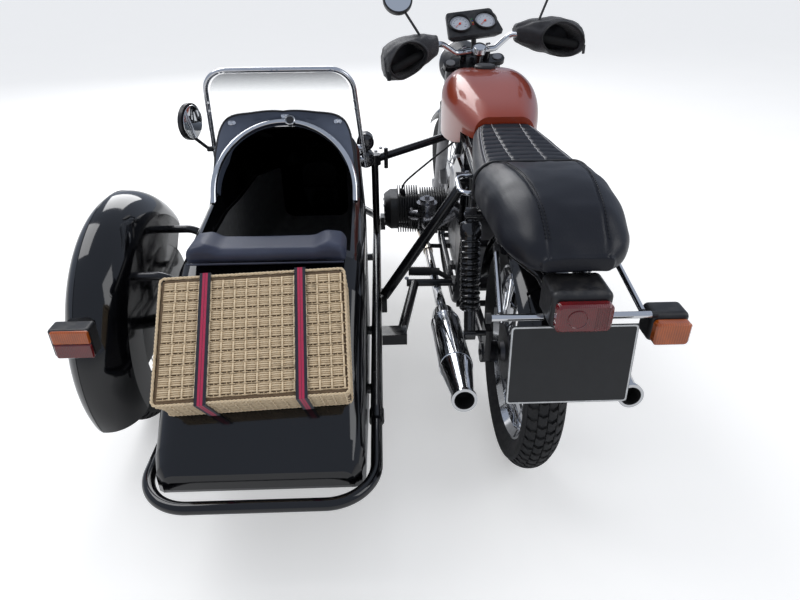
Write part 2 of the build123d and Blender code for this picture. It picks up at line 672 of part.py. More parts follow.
# Sidecar chassis: side rails, cross tubes, stub axle, guard stay, strut post and the struts
post_y = 905
guard_half = 68
guard_shift = 8
guard_ridge = 34
guard_inner = 226
guard_radius = 388
guard_wall = 4
guard_stays = (70, 390)
guard_stay_height = 548
post_top = 588
cross_tube = 14
cross_tube_z = body_floor - cross_tube - seat_gap
with BuildPart() as sidecar_chassis:
    add(tube([(inner_rail_x, bumper_join, rail_height), (inner_rail_x, 1110, rail_height),
              (inner_rail_x - 110, 1270, rail_height), (outer_rail_x + 110, 1270, rail_height),
              (outer_rail_x, 1110, rail_height), (outer_rail_x, bumper_join, rail_height)], 90, chassis_tube))
    for y in (-60, side_wheel_lead, 780):
        add(tube([(inner_rail_x, y, rail_height), (inner_rail_x - 4, y, cross_tube_z), (outer_rail_x + 4, y, cross_tube_z),
                  (outer_rail_x, y, rail_height)], 20, cross_tube))
    add(rod((outer_rail_x + 4, side_wheel_lead, rail_height), (side_wheel_x + side_hub_half + 12, side_wheel_lead, side_tyre_radius), 21))
    add(rod((side_wheel_x + side_hub_half + 14, side_wheel_lead, side_tyre_radius),
            (side_wheel_x - side_hub_half - 12, side_wheel_lead, side_tyre_radius), axle_radius))
    add(rod((side_wheel_x + side_hub_half + 6, side_wheel_lead, side_tyre_radius),
            (side_wheel_x + side_hub_half + 26, side_wheel_lead, side_tyre_radius), 24))
    add(rod((side_wheel_x - side_hub_half - 20, side_wheel_lead, side_tyre_radius),
            (side_wheel_x - side_hub_half - 4, side_wheel_lead, side_tyre_radius), 18))
    add(rod((inner_rail_x, post_y, rail_height), (inner_rail_x, post_y, post_top), cross_tube))
    guard_side = side_wheel_x + guard_shift + guard_half + guard_wall + seat_gap
    for y in guard_stays:
        add(tube([(outer_rail_x, y, rail_height), (outer_rail_x - 30, y, guard_stay_height),
                  (guard_side, y, guard_stay_height)], 60, 12))
nodes["sidecar_chassis"] = sidecar_chassis.part

# Bumper loop behind the body, sleeved over the rails
with BuildPart() as bumper_loop:
    add(tube([(inner_rail_x, bumper_join - 1, rail_height), (inner_rail_x, bumper_rear, rail_height),
              (outer_rail_x, bumper_rear, rail_height), (outer_rail_x, bumper_join - 1, rail_height)], 110, bumper_tube))
    for x in (inner_rail_x, outer_rail_x):
        add(rod((x, bumper_join - 40, rail_height), (x, bumper_join - seat_gap, rail_height), bumper_tube + 5))
nodes["bumper_loop"] = bumper_loop.part

# Struts between the two machines, each with a clamp at the sidecar and an eye at the frame
with BuildPart() as sidecar_struts:
    strut_gap = chassis_tube + seat_gap
    add(rod((inner_rail_x, post_y, post_top + seat_gap), (inner_rail_x, post_y, post_top + 40), 24))
    add(rod((inner_rail_x, post_y, post_top + 20), (-62, 985, lug_front_high[1]), 15))
    add(rod((-90, 985, lug_front_high[1]), (-44, 985, lug_front_high[1]), 20))
    add(rod((inner_rail_x + 44, post_y + 2, post_top + 62), (inner_rail_x + 44, post_y + 2, post_top - 16), 8))
    add(block((inner_rail_x + strut_gap, 315, 268), (inner_rail_x + strut_gap + 18, 370, 330)))
    add(rod((inner_rail_x + strut_gap + 9, 340, 318), (-138, 330, 700), 17))
    add(rod((-160, 330, 716), (-126, 330, 716), 22))
    add(block((inner_rail_x + strut_gap, 150, 250), (-312, 205, 286)))
    add(rod((-330, 178, 268), (-272, 466, 297), 16))
    add(rod((-300, 464, 298), (-cradle_half_width - 17 - seat_gap, 464, 296), 13))
    add(block((inner_rail_x + strut_gap, 1018, 262), (inner_rail_x + strut_gap + 20, 1068, 318)))
    add(rod((inner_rail_x + strut_gap + 10, 1044, 290), (-158, 1044, 252), 15))
    add(rod((-172, 1044, 250), (-cradle_half_width - frame_tube - seat_gap, 1044, 250), 19))
nodes["sidecar_struts"] = sidecar_struts.part

# Sidecar body, hollow from the bulkhead to the nose, open above the cockpit
body_sections = [(-456, body_x, 196, body_floor + 34, 318, 10, 10), (-452, body_x, 208, body_floor + 24, 334, 26, 24),
                 (-436, body_x, 224, body_floor + 14, 358, 44, 38), (-405, body_x, 231, body_floor + 6, 388, 56, 48),
                 (-130, body_x, 234, body_floor, 612, 60, 60), (-40, body_x, 234, body_floor, 650, 60, 60),
                 (290, body_x, 232, body_floor, 702, 70, 60), (400, body_x, 218, body_floor, 862, 96, 60),
                 (560, body_x, 212, body_floor + 2, 828, 120, 60), (800, body_x, 195, body_floor + 14, 730, 130, 60),
                 (1050, body_x, 150, body_floor + 46, 600, 110, 50), (1250, body_x, 84, body_floor + 98, 500, 55, 35),
                 (1315, body_x, 36, body_floor + 134, 452, 20, 20)]
cockpit_back = -12
hoop_radius = 203
hoop_foot = (290, 700)
hoop_top = (400, 868)
hoop_up = Vector(0, hoop_top[0] - hoop_foot[0], hoop_top[1] - hoop_foot[1]).normalized()
hoop_plane = Plane(origin=(body_x, hoop_foot[0] - 14, hoop_foot[1] + 10), x_dir=(1, 0, 0),
                   z_dir=Vector(1, 0, 0).cross(hoop_up))
body_shell = loft_along_y(body_sections)
with BuildPart() as sidecar_body:
    add(body_shell)
    inner_sections = [(y, x, half - body_wall, low + body_wall, high - body_wall, max(top - body_wall, 8),
                       max(bottom - body_wall, 8)) for y, x, half, low, high, top, bottom in body_sections[6:12]]
    first = body_sections[5]
    inner_sections.insert(0, (cockpit_back, body_x, first[2] - body_wall, first[3] + body_wall,
                              first[4] - body_wall, first[5] - body_wall, first[6] - body_wall))
    add(loft_along_y(inner_sections), mode=Mode.SUBTRACT)
    with BuildSketch(Plane.YZ.offset(body_x - hoop_radius + 6)):
        with BuildLine():
            Polyline((cockpit_back, 560), (hoop_foot[0] - 60, 600), (hoop_foot[0] - 4, hoop_foot[1] - 40),
                     (hoop_foot[0] - 4, 1000), (cockpit_back, 1000), close=True)
        make_face()
    extrude(amount=2 * hoop_radius - 12, mode=Mode.SUBTRACT)
    with BuildSketch(hoop_plane.offset(-60)):
        Circle(hoop_radius - 6)
        with Locations((0, -40)):
            Rectangle(2 * hoop_radius - 12, 80)
        with Locations((0, -hoop_radius - 40)):
            Rectangle(2 * hoop_radius, 2 * hoop_radius, mode=Mode.SUBTRACT)
    extrude(amount=120, mode=Mode.SUBTRACT)
nodes["sidecar_body"] = sidecar_body.part

# Cockpit hoop: half a circle of tube that lies on the scuttle's face
with BuildPart() as cockpit_hoop:
    with BuildLine(hoop_plane) as arch:
        Line((-hoop_radius, -34), (-hoop_radius, 0))
        ThreePointArc((-hoop_radius, 0), (0, hoop_radius), (hoop_radius, 0))
        Line((hoop_radius, 0), (hoop_radius, -34))
    with BuildSketch(Plane(origin=arch.line @ 0, z_dir=arch.line % 0)):
        Circle(9)
    sweep()
    add(body_shell, mode=Mode.SUBTRACT)
nodes["cockpit_hoop"] = cockpit_hoop.part

# Windscreen tube frame and its clear panel, leaning back over the scuttle
screen_foot = (448, 742)
screen_lean = Vector(0, 330 - 420, 1033 - 729).normalized()
screen_plane = Plane(origin=(body_x, screen_foot[0], screen_foot[1]), x_dir=(1, 0, 0),
                     z_dir=Vector(1, 0, 0).cross(screen_lean))
screen_half = 203
screen_height = 296
screen_tube = 7
screen_splay = 27
with BuildPart() as windscreen_frame:
    with BuildLine(screen_plane) as outline:
        FilletPolyline((-screen_half - screen_splay, -20), (-screen_half, screen_height),
                       (screen_half, screen_height), (screen_half + screen_splay, -20), radius=66)
    with BuildSketch(Plane(origin=outline.line @ 0, z_dir=outline.line % 0)):
        Circle(screen_tube)
    sweep()
    for side in (-1, 1):
        for rise in (6, 46):
            lug = screen_plane.from_local_coords(Vector(side * (screen_half + screen_splay - 3 - rise * 0.08), rise, 0))
            add(rod(lug, (body_x + side * (screen_half - 10), lug.Y, lug.Z), 9))
    add(body_shell, mode=Mode.SUBTRACT)
nodes["windscreen_frame"] = windscreen_frame.part
with BuildPart() as windscreen:
    with BuildSketch(screen_plane):
        with BuildLine():
            Polyline((-screen_half - 3, 14), (-screen_half + 9, screen_height - 9),
                     (screen_half - 9, screen_height - 9), (screen_half + 3, 14), close=True)
        pane = make_face()
        fillet(pane.vertices().group_by(Axis.Y)[-1], 58)
    extrude(amount=2, both=True)
    add(body_shell, mode=Mode.SUBTRACT)
nodes["windscreen"] = windscreen.part

# Seat back with its roll on the body's edge, and the cushion on the floor
with BuildPart() as sidecar_backrest:
    add(block((body_x - 195, -104, 656), (body_x + 195, 14, 702), 18))
    add(block((body_x - 184, cockpit_back + seat_gap, 400), (body_x + 184, 62, 690), 22))
nodes["sidecar_backrest"] = sidecar_backrest.part
nodes["sidecar_cushion"] = block((body_x - 184, 64, body_floor + body_wall + seat_gap),
                                 (body_x + 184, 396, body_floor + body_wall + 96), 26)

# Hamper and its two straps on the sloping tail
slope = math.atan2(612 - 388, 405 - 130)
slope_up = Vector(0, -math.sin(slope), math.cos(slope))
slope_along = Vector(0, math.cos(slope), math.sin(slope))
hamper_foot = Vector(body_x - 2, -246, 612 + (-246 + 130) * math.tan(slope)) + slope_up * (strap_thickness + 1)
hamper_turn = math.radians(2.5)
hamper_across = Vector(math.cos(hamper_turn), 0, 0) + slope_along * math.sin(hamper_turn)
hamper_plane = Plane(origin=hamper_foot, x_dir=hamper_across, z_dir=slope_up)
with BuildPart() as hamper:
    with BuildSketch(hamper_plane):
        RectangleRounded(hamper_width, hamper_length, 12)
    extrude(amount=hamper_height)
nodes["hamper"] = hamper.part
with BuildPart() as hamper_straps:
    for x in (-102, 104):
        with BuildSketch(Plane(origin=hamper_plane.from_local_coords(Vector(x - strap_width / 2, 0, hamper_height / 2)),
                               x_dir=slope_up.cross(hamper_across), z_dir=hamper_across)):
            Rectangle(hamper_length + 2 * (seat_gap + strap_thickness), hamper_height + 2 * (seat_gap + strap_thickness))
            Rectangle(hamper_length + 2 * seat_gap, hamper_height + 2 * seat_gap, mode=Mode.SUBTRACT)
        extrude(amount=strap_width)
nodes["hamper_straps"] = hamper_straps.part

# Mudguard over the sidecar wheel, deep-sided, with its rear lamp and the stay that carries it
guard_middle = side_wheel_x + guard_shift
with BuildPart() as sidecar_mudguard:
    with BuildSketch(Plane(origin=(guard_middle, side_wheel_lead, side_tyre_radius), x_dir=(1, 0, 0), z_dir=(0, 0, 1))):
        with BuildLine():
            Polyline((-guard_half, guard_radius - 130), (-guard_half - guard_wall, guard_radius - 130),
                     (-guard_half - guard_wall, guard_radius - 34))
            ThreePointArc((-guard_half - guard_wall, guard_radius - 34),
                          (-guard_ridge - 21, guard_radius - 10), (-guard_ridge, guard_radius + guard_wall))
            ThreePointArc((-guard_ridge, guard_radius + guard_wall), (32, guard_radius - 12),
                          (guard_half + guard_wall, guard_radius - 68))
            Polyline((guard_half + guard_wall, guard_radius - 68), (guard_half + guard_wall, guard_inner),
                     (guard_half, guard_inner), (guard_half, guard_radius - 70))
            ThreePointArc((guard_half, guard_radius - 70), (30, guard_radius - 17), (-guard_ridge, guard_radius - 1))
            ThreePointArc((-guard_ridge, guard_radius - 1), (-guard_ridge - 18, guard_radius - 13),
                          (-guard_half, guard_radius - 35))
            Line((-guard_half, guard_radius - 35), (-guard_half, guard_radius - 130))
        make_face()
    revolve(axis=Axis((guard_middle, side_wheel_lead, side_tyre_radius), (1, 0, 0)), revolution_arc=160)
nodes["sidecar_mudguard"] = sidecar_mudguard.part.rotate(
    Axis((guard_middle, side_wheel_lead, side_tyre_radius), (1, 0, 0)), 42)
side_lamp_x = inner_rail_x - 32
with BuildPart() as side_lamps:
    for z in (632, 696):
        add(rod((side_lamp_x, post_y - 30, z), (side_lamp_x, post_y - 74, z), 29))
        add(rod((side_lamp_x, post_y - 74, z), (side_lamp_x, post_y - 84, z), 31))
    add(rod((side_lamp_x, post_y - 50, 632), (side_lamp_x, post_y - 50, 696), 9))
    add(rod((inner_rail_x - 24 - seat_gap, post_y, 612), (inner_rail_x - 44, post_y, 612), 8))
    add(rod((inner_rail_x - 40, post_y, 612), (side_lamp_x, post_y - 40, 626), 8))
nodes["side_lamps"] = side_lamps.part
lamp_out = Vector(0, -342, 192).normalized()
lamp_seat = Vector(side_wheel_x + 8, side_wheel_lead, side_tyre_radius) + lamp_out * (guard_radius - 12)
with BuildPart() as sidecar_lamp:
    add(block((side_wheel_x - 36, -196, 470), (side_wheel_x + 60, -150, 548), 8))
    add(rod(lamp_seat, lamp_seat + lamp_out * 80, 16))
    add(sidecar_mudguard.part.rotate(Axis((guard_middle, side_wheel_lead, side_tyre_radius), (1, 0, 0)), 42),
        mode=Mode.SUBTRACT)
    add(sidecar_lamp.part.solids().sort_by(SortBy.VOLUME)[-1], mode=Mode.INTERSECT)
nodes["sidecar_lamp"] = sidecar_lamp.part

# Lenses: tail lamp and right indicator
nodes["lamp_lenses"] = Compound(children=[
    block((-54, lamp_back - 22, 668), (54, lamp_back - seat_gap, 728), 6),
    block((164, -400, 606), (236, -378 - seat_gap, 658), 6)])

# Sidecar mirror on the windscreen's left leg
with BuildPart() as sidecar_mirror:
    head = Vector(body_x - 273, 400, 880)
    facing = Vector(0.95, -0.3, 0).normalized()
    add(rod(head - facing * 6, head + facing * 6, 52))
    leg_out = screen_half + screen_splay * (screen_height - 50) / (screen_height + 20)
    stem_foot = screen_plane.from_local_coords(Vector(-leg_out - screen_tube - seat_gap, 50, 0))
    add(rod(stem_foot, stem_foot - Vector(14, 0, 0), 8))
    add(rod(stem_foot - Vector(9, 0, 0), head - facing * 4 - Vector(0, 0, 40), 5))
nodes["sidecar_mirror"] = sidecar_mirror.part

for name, part in steered.items():
    nodes[name] = part.rotate(steering_axis, steer_as_parked)

corners = [part.bounding_box() for part in nodes.values()]
origin_shift = Vector(-(min(box.min.X for box in corners) + max(box.max.X for box in corners)) / 2,
                      -(min(box.min.Y for box in corners) + max(box.max.Y for box in corners)) / 2,
                      -min(box.min.Z for box in corners))
print("origin shift", origin_shift)

os.makedirs("parts", exist_ok=True)
for name, part in nodes.items():
    piece = part.moved(Location(origin_shift))
    piece.label = name
    export_step(piece, f"parts/{name}.step")
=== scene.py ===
import json
import math

import bmesh
import bpy
from mathutils import Matrix, Vector, noise


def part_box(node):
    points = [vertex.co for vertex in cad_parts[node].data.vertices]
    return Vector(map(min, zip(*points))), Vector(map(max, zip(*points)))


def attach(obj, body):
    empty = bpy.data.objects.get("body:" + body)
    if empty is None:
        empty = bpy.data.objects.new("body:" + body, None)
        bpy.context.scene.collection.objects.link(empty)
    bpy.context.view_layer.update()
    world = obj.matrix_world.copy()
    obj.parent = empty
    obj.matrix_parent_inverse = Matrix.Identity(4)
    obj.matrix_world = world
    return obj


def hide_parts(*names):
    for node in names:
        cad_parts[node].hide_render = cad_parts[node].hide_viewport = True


bl_info = {
    "name": "Sidecar outfit",
    "version": (1, 0, 0),
    "blender": (4, 5, 0),
    "location": "3D View > Sidebar > Outfit",
    "description": "Finishes, soft goods and small fittings for a motorcycle with a sidecar",
    "category": "Object",
}

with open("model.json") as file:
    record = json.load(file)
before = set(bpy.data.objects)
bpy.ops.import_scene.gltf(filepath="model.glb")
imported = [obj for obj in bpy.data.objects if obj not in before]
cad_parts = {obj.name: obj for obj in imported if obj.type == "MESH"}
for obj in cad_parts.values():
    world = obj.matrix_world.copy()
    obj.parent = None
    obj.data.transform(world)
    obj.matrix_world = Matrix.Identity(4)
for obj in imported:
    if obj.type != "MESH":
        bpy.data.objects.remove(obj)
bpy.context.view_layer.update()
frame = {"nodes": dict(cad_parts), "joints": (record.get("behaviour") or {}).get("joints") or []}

# Where the rear tyre meets the floor is the outfit's own zero: +Y forward, +X to the rider's right.
rear_low, rear_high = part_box("rear_tyre")
CONTACT = Vector(((rear_low.x + rear_high.x) / 2, (rear_low.y + rear_high.y) / 2, 0))
STEERING = next(joint for joint in frame["joints"] if joint["name"] == "steering")
PIVOT = Vector(STEERING["pos_m"])
STEM = Vector(STEERING["axis"])
AXLES = {joint["child"]: (Vector(joint["pos_m"]), Vector(joint["axis"]))
         for joint in frame["joints"] if joint["child"].endswith("_wheel")}
# The bars are parked turned to the left, by this many degrees about the stem
PARKED = 11
TURN = Matrix.Translation(PIVOT) @ Matrix.Rotation(math.radians(PARKED), 4, STEM) @ Matrix.Translation(-PIVOT)
SPIN = TURN.to_3x3()
# The handlebar's middle in the fork's own directions, in millimetres
BAR = (0, 38, 1081)

# Middle of the sidecar's body, and the hoop's plane: the way it faces and the way up it
BODY_X = -660
HOOP_OUT = Vector((0, -0.837, 0.548))
HOOP_UP = Vector((0, 0.548, 0.837))
# The camera's place in millimetres, its turns in degrees, and its lens and sensor
CAMERA_PLACE = (-379, -1395, 1302)
CAMERA_YAW, CAMERA_PITCH, CAMERA_ROLL = 1.7, -29.99, -0.41
CAMERA_LENS, SENSOR_WIDTH = 27.09, 36
# Lamps: name, place and width in metres, power in watts and the point aimed at
LAMPS = (("key", (-2.6, 0.2, 4.2), 2.4, 62, (0, 0, 0.4)),
         ("fill", (3.4, -1.8, 3.2), 2.2, 30, (0, 0, 0.4)),
         ("sky", (-1.3, 4.3, 3.3), 3.0, 110, (0, 0.2, 0.5)))
# The studio's light, then what mirrors, glass and the camera see of the studio: colour and strength
STUDIO_LIGHT = ((0.92, 0.95, 1.0, 1), 0.62)
STUDIO_SEEN = (("Is Glossy Ray", (0.62, 0.70, 0.86, 1), 0.55),
               ("Is Transmission Ray", (1, 1, 1, 1), 1.0),
               ("Is Camera Ray", (0.86, 0.87, 0.89, 1), 1.0))
FLOOR_GLOW = 0.38


def at(x, y, z):
    """A point in millimetres from the rear tyre's contact, as the frame's metres."""
    return CONTACT + Vector((x, y, z)) / 1000


def fork_line(x, forward, along):
    """A point in the fork's own directions, in millimetres, with the bars straight."""
    ahead = Vector((0, STEM.z, -STEM.y))
    return PIVOT + (Vector((x, 0, 0)) + ahead * forward + STEM * along) / 1000


def on_fork(x, forward, along):
    """The same point with the bars turned as parked."""
    return TURN @ fork_line(x, forward, along)


def facing(centre, out, up=(0, 0, 1)):
    """A placing matrix whose Z points out of a surface and whose Y lies near a given up."""
    z = Vector(out).normalized()
    x = Vector(up).cross(z).normalized()
    y = z.cross(x)
    return Matrix.Translation(centre) @ Matrix((x, y, z)).transposed().to_4x4()


# Finishes

# Metres along the outfit: where the headers turn blue, and where the silencers' mouths begin
HEADERS = (0.55, 0.95)
MOUTHS = -0.2535
# Metres above the floor: where the screen's smoked band fades in
SMOKED_BAND = (0.965, 1.015)


class Signal:
    """A value in a finish's node tree; Python's operators add its Math nodes."""

    def __init__(self, finish, socket):
        self.finish = finish
        self.socket = socket

    def math(self, operation, *values):
        return self.finish.node("ShaderNodeMath", {"operation": operation}, dict(enumerate(values)))

    def __add__(self, other):
        return self.math("ADD", self, other)

    def __sub__(self, other):
        return self.math("SUBTRACT", self, other)

    def __rsub__(self, other):
        return self.math("SUBTRACT", other, self)

    def __mul__(self, other):
        return self.math("MULTIPLY", self, other)

    def __gt__(self, other):
        return self.math("GREATER_THAN", self, other)

    def __lt__(self, other):
        return self.math("LESS_THAN", self, other)

    __radd__ = __add__
    __rmul__ = __mul__

    def size(self):
        return self.math("ABSOLUTE", self)

    def wave(self):
        return self.math("SINE", self)

    def cut(self, low, high):
        """This value stretched from low..high to 0..1 and held there."""
        return self.finish.node("ShaderNodeMapRange", {"clamp": True},
                                {"Value": self, "From Min": low, "From Max": high})


class Finish:
    """One procedural material: its shader and the nodes that feed it."""

    def __init__(self, name, color, roughness, metallic=0.0, coat=0.0, **sockets):
        self.material = bpy.data.materials.new(name)
        self.material.use_nodes = True
        self.tree = self.material.node_tree
        self.shader = self.tree.nodes["Principled BSDF"]
        self.color = (*color, 1.0)
        self.roughness = roughness
        self.shader.inputs["Base Color"].default_value = self.color
        self.shader.inputs["Roughness"].default_value = roughness
        self.shader.inputs["Metallic"].default_value = metallic
        self.shader.inputs["Coat Weight"].default_value = coat
        self.shader.inputs["Coat Roughness"].default_value = 0.04
        for socket, value in sockets.items():
            self.shader.inputs[socket.replace("_", " ")].default_value = value
        self.place = self.node("ShaderNodeTexCoord", {}, {}, "Object")

    def node(self, kind, settings, inputs, output=0):
        """Add a node: its settings first, then a value or a signal for each socket."""
        made = self.tree.nodes.new(kind)
        for name, value in settings.items():
            if name == "stops":
                ramp = made.color_ramp
                for index, (position, color) in enumerate(value):
                    stop = ramp.elements[index] if index < 2 else ramp.elements.new(position)
                    stop.position = position
                    stop.color = (*color, 1.0)
            else:
                setattr(made, name, value)
        for key, value in inputs.items():
            if isinstance(value, Signal):
                self.tree.links.new(value.socket, made.inputs[key])
            else:
                made.inputs[key].default_value = value
        return Signal(self, made.outputs[output])

    def axes(self, place=None):
        """The three coordinates of a place."""
        split = self.node("ShaderNodeSeparateXYZ", {}, {0: place or self.place})
        return [Signal(self, socket) for socket in split.socket.node.outputs]

    def moved(self, centre, turn=(0, 0, 0), scale=(1, 1, 1)):
        """The surface's place measured from a centre, turned and stretched."""
        shifted = self.node("ShaderNodeVectorMath", {"operation": "SUBTRACT"}, {0: self.place, 1: tuple(centre)})
        return self.node("ShaderNodeMapping", {}, {"Vector": shifted, "Rotation": turn, "Scale": scale})

    def noise(self, scale, detail=3.0, rough=0.5, place=None):
        return self.node("ShaderNodeTexNoise", {}, {"Vector": place or self.place, "Scale": scale,
                                                    "Detail": detail, "Roughness": rough})

    def cells(self, scale, place=None, feature="F1"):
        return self.node("ShaderNodeTexVoronoi", {"feature": feature},
                         {"Vector": place or self.place, "Scale": scale}, "Distance")

    def mix(self, factor, first, second):
        first, second = [(*c, 1.0) if isinstance(c, tuple) and len(c) == 3 else c for c in (first, second)]
        return self.node("ShaderNodeMix", {"data_type": "RGBA"}, {0: factor, 6: first, 7: second}, 2)

    def feed(self, socket, value):
        self.tree.links.new(value.socket, self.shader.inputs[socket])
        return self

    def bump(self, height, distance, strength=1.0):
        """Raise the surface by a height signal, over a distance in metres."""
        raised = self.node("ShaderNodeBump", {}, {"Height": height, "Distance": distance, "Strength": strength})
        return self.feed("Normal", raised)

    def worn(self, vary=0.25, patch=9.0, rough_vary=0.12, dust=0.0, dust_color=(0.30, 0.28, 0.25)):
        """Let colour and gloss drift in patches, with a little dust on what faces up."""
        drift = self.noise(patch, 5.0, 0.6).cut(0.3, 0.7)
        dark = tuple(c * (1 - vary) for c in self.color[:3])
        light = tuple(min(1, c * (1 + vary)) for c in self.color[:3])
        color = self.mix(drift, dark, light)
        gloss = self.roughness + (self.noise(patch * 4, 4.0, 0.65).cut(0.35, 0.75) - 0.5) * rough_vary
        if dust:
            normal = self.node("ShaderNodeNewGeometry", {}, {}, "Normal")
            upward = self.axes(normal)[2].cut(0.2, 1.0)
            fall = upward * self.noise(38.0, 6.0, 0.7).cut(0.45, 0.8) * dust
            color = self.mix(fall, color, dust_color)
            gloss = gloss + fall * 0.5
        return self.feed("Base Color", color).feed("Roughness", gloss)


def round_axle(finish, body):
    """How far the surface is from a wheel's axle line, in metres."""
    centre, axis = AXLES[body]
    away = finish.node("ShaderNodeVectorMath", {"operation": "SUBTRACT"}, {0: finish.place, 1: tuple(centre)})
    across = finish.node("ShaderNodeVectorMath", {"operation": "CROSS_PRODUCT"}, {0: away, 1: tuple(axis)})
    return finish.node("ShaderNodeVectorMath", {"operation": "LENGTH"}, {0: across}, "Value")


def toothed(name, color, roughness, drift, tooth=None, **sockets):
    """A finish that drifts as worn() takes it; its tooth is a noise bump's scale, detail, distance and strength."""
    finish = Finish(name, color, roughness, **sockets).worn(*drift)
    if tooth:
        scale, detail, distance, strength = tooth
        finish.bump(finish.noise(scale, detail), distance, strength)
    return finish.material


# Colour, roughness, drift, tooth and further sockets of the finishes that need no more
SIMPLE = {
    "black_enamel": ((0.003, 0.003, 0.004), 0.10, (0.3, 5.0, 0.06), None, {"coat": 0.35}),
    "frame_black": ((0.007, 0.007, 0.009), 0.22, (0.3, 12.0, 0.15, 0.08), (160.0, 3.0, 0.0003, 0.25), {"coat": 0.2}),
    "cast_alloy": ((0.30, 0.30, 0.31), 0.42, (0.25, 18.0, 0.2, 0.35, (0.08, 0.07, 0.06)), (520.0, 4.0, 0.0004, 0.5),
                   {"metallic": 0.85}),
    "brushed_steel": ((0.38, 0.38, 0.40), 0.3, (0.15, 30.0, 0.15, 0.1), (700.0, 3.0, 0.0001, 0.3), {"metallic": 1.0}),
    "heat_black": ((0.022, 0.022, 0.023), 0.42, (0.4, 22.0, 0.2, 0.30), (420.0, 5.0, 0.0004, 0.5), {"metallic": 0.2}),
    "tyre_rubber": ((0.013, 0.013, 0.014), 0.72, (0.35, 26.0, 0.15, 0.30), (600.0, 4.0, 0.0003, 0.5), {}),
    "soft_rubber": ((0.016, 0.016, 0.017), 0.62, (0.3, 30.0, 0.15, 0.2), (800.0, 3.0, 0.0002, 0.4), {}),
    "dial_print": ((0.42, 0.45, 0.52), 0.35, (0.08, 30.0, 0.1), None, {"coat": 0.8}),
    "screen_tube": ((0.68, 0.69, 0.72), 0.24, (0.05, 14.0, 0.05), None, {"metallic": 1.0}),
}


def simple(name):
    """Make one finish of the table above."""
    color, roughness, drift, tooth, sockets = SIMPLE[name]
    return toothed(name, color, roughness, drift, tooth, **sockets)


def look(name):
    """A finish that is already made."""
    return bpy.data.materials[name]


def orange_lacquer():
    """Deep orange lacquer over a fine metallic flake."""
    finish = Finish("orange_lacquer", (0.24, 0.022, 0.005), 0.34, metallic=0.10, coat=0.8)
    flake = finish.cells(2600.0).cut(0.1, 0.6)
    drift = finish.noise(3.0, 2.0)
    tone = finish.mix(drift.cut(0.3, 0.7), (0.20, 0.016, 0.003), (0.29, 0.030, 0.005))
    return finish.feed("Base Color", finish.mix(flake * 0.25, tone, (0.42, 0.06, 0.010))).bump(
        finish.noise(900.0), 0.00005, 0.15).material


def chrome():
    """Bright plating with a few pits."""
    finish = Finish("chrome", (0.72, 0.73, 0.75), 0.06, metallic=1.0).worn(0.08, 14.0, 0.10)
    pits = finish.cells(420.0).cut(0.0, 0.05)
    return finish.bump(pits, 0.0001, 0.3).material


def exhaust_chrome():
    """Plating that blues along the headers and dulls inside the silencers' mouths."""
    finish = Finish("exhaust_chrome", (0.70, 0.71, 0.73), 0.07, metallic=1.0)
    along = finish.axes(finish.moved(at(0, 0, 0)))[1]
    heat = along.cut(*HEADERS)
    blue = finish.mix(finish.noise(7.0).cut(0.4, 0.6), (0.62, 0.47, 0.28), (0.33, 0.36, 0.50))
    mouth = finish.noise(30.0) * (along < MOUTHS)
    color = finish.mix(heat * 0.7, (0.70, 0.71, 0.73), blue)
    return finish.feed("Base Color", finish.mix(mouth * 0.15, color, (0.3, 0.28, 0.25))).feed(
        "Roughness", finish.noise(40.0, 5.0).cut(0.4, 0.9) * 0.16 + 0.05).material


def moulded_black():
    """Black plastic with a leathery moulded grain."""
    finish = Finish("moulded_black", (0.014, 0.014, 0.016), 0.38).worn(0.25, 20.0, 0.12, 0.18)
    return finish.bump(finish.cells(1500.0), 0.00015, 0.4).material


def hide(name, color, roughness, patch=7.0):
    """Grained vinyl or leather: pebbles, pores and rubbed lighter patches."""
    finish = Finish(name, color, roughness, Specular_IOR_Level=0.4)
    pebbles = finish.cells(430.0, feature="SMOOTH_F1") * 0.7 + finish.noise(900.0) * 0.3
    rubbed = finish.noise(patch, 4.0, 0.6).cut(0.45, 0.8)
    light = tuple(min(1, c * 1.6 + 0.006) for c in color)
    finish.feed("Base Color", finish.mix(rubbed * 0.6, tuple(color), light))
    finish.feed("Roughness", roughness + rubbed * 0.14 + pebbles * 0.05)
    return finish.bump(pebbles, 0.0006, 0.45).material


def muff_cloth():
    """Coated nylon with a fine square weave and creases."""
    finish = Finish("muff_cloth", (0.012, 0.012, 0.016), 0.55, Sheen_Weight=0.25, Sheen_Roughness=0.4)
    x, y, z = finish.axes()
    weave = (x * 5200.0 + z * 2600.0).wave() * (y * 5200.0 - z * 2600.0).wave()
    creases = finish.noise(26.0, 4.0, 0.6)
    finish.feed("Base Color", finish.mix(creases.cut(0.4, 0.7), (0.009, 0.009, 0.012), (0.026, 0.026, 0.032)))
    finish.feed("Roughness", 0.48 + creases * 0.2)
    return finish.bump(weave * 0.12 + creases * 1.6, 0.0016, 0.6).material


def cane(name, low, high):
    """Split willow: long fibres, knots and pale and dark strands."""
    finish = Finish(name, low, 0.58)
    strand = finish.node("ShaderNodeAttribute", {"attribute_name": "strand"}, {}, "Fac")
    fibre = finish.noise(90.0, 6.0, 0.7, finish.moved((0, 0, 0), scale=(1, 14, 14)))
    knots = finish.noise(42.0, 3.0).cut(0.62, 0.75)
    tone = finish.mix((strand * 0.7 + fibre * 0.5).cut(0.15, 1.0), low, high)
    finish.feed("Base Color", finish.mix(knots * 0.5, tone, tuple(c * 0.45 for c in low)))
    finish.feed("Roughness", 0.50 + fibre * 0.2)
    return finish.bump(fibre, 0.0006, 0.6).material


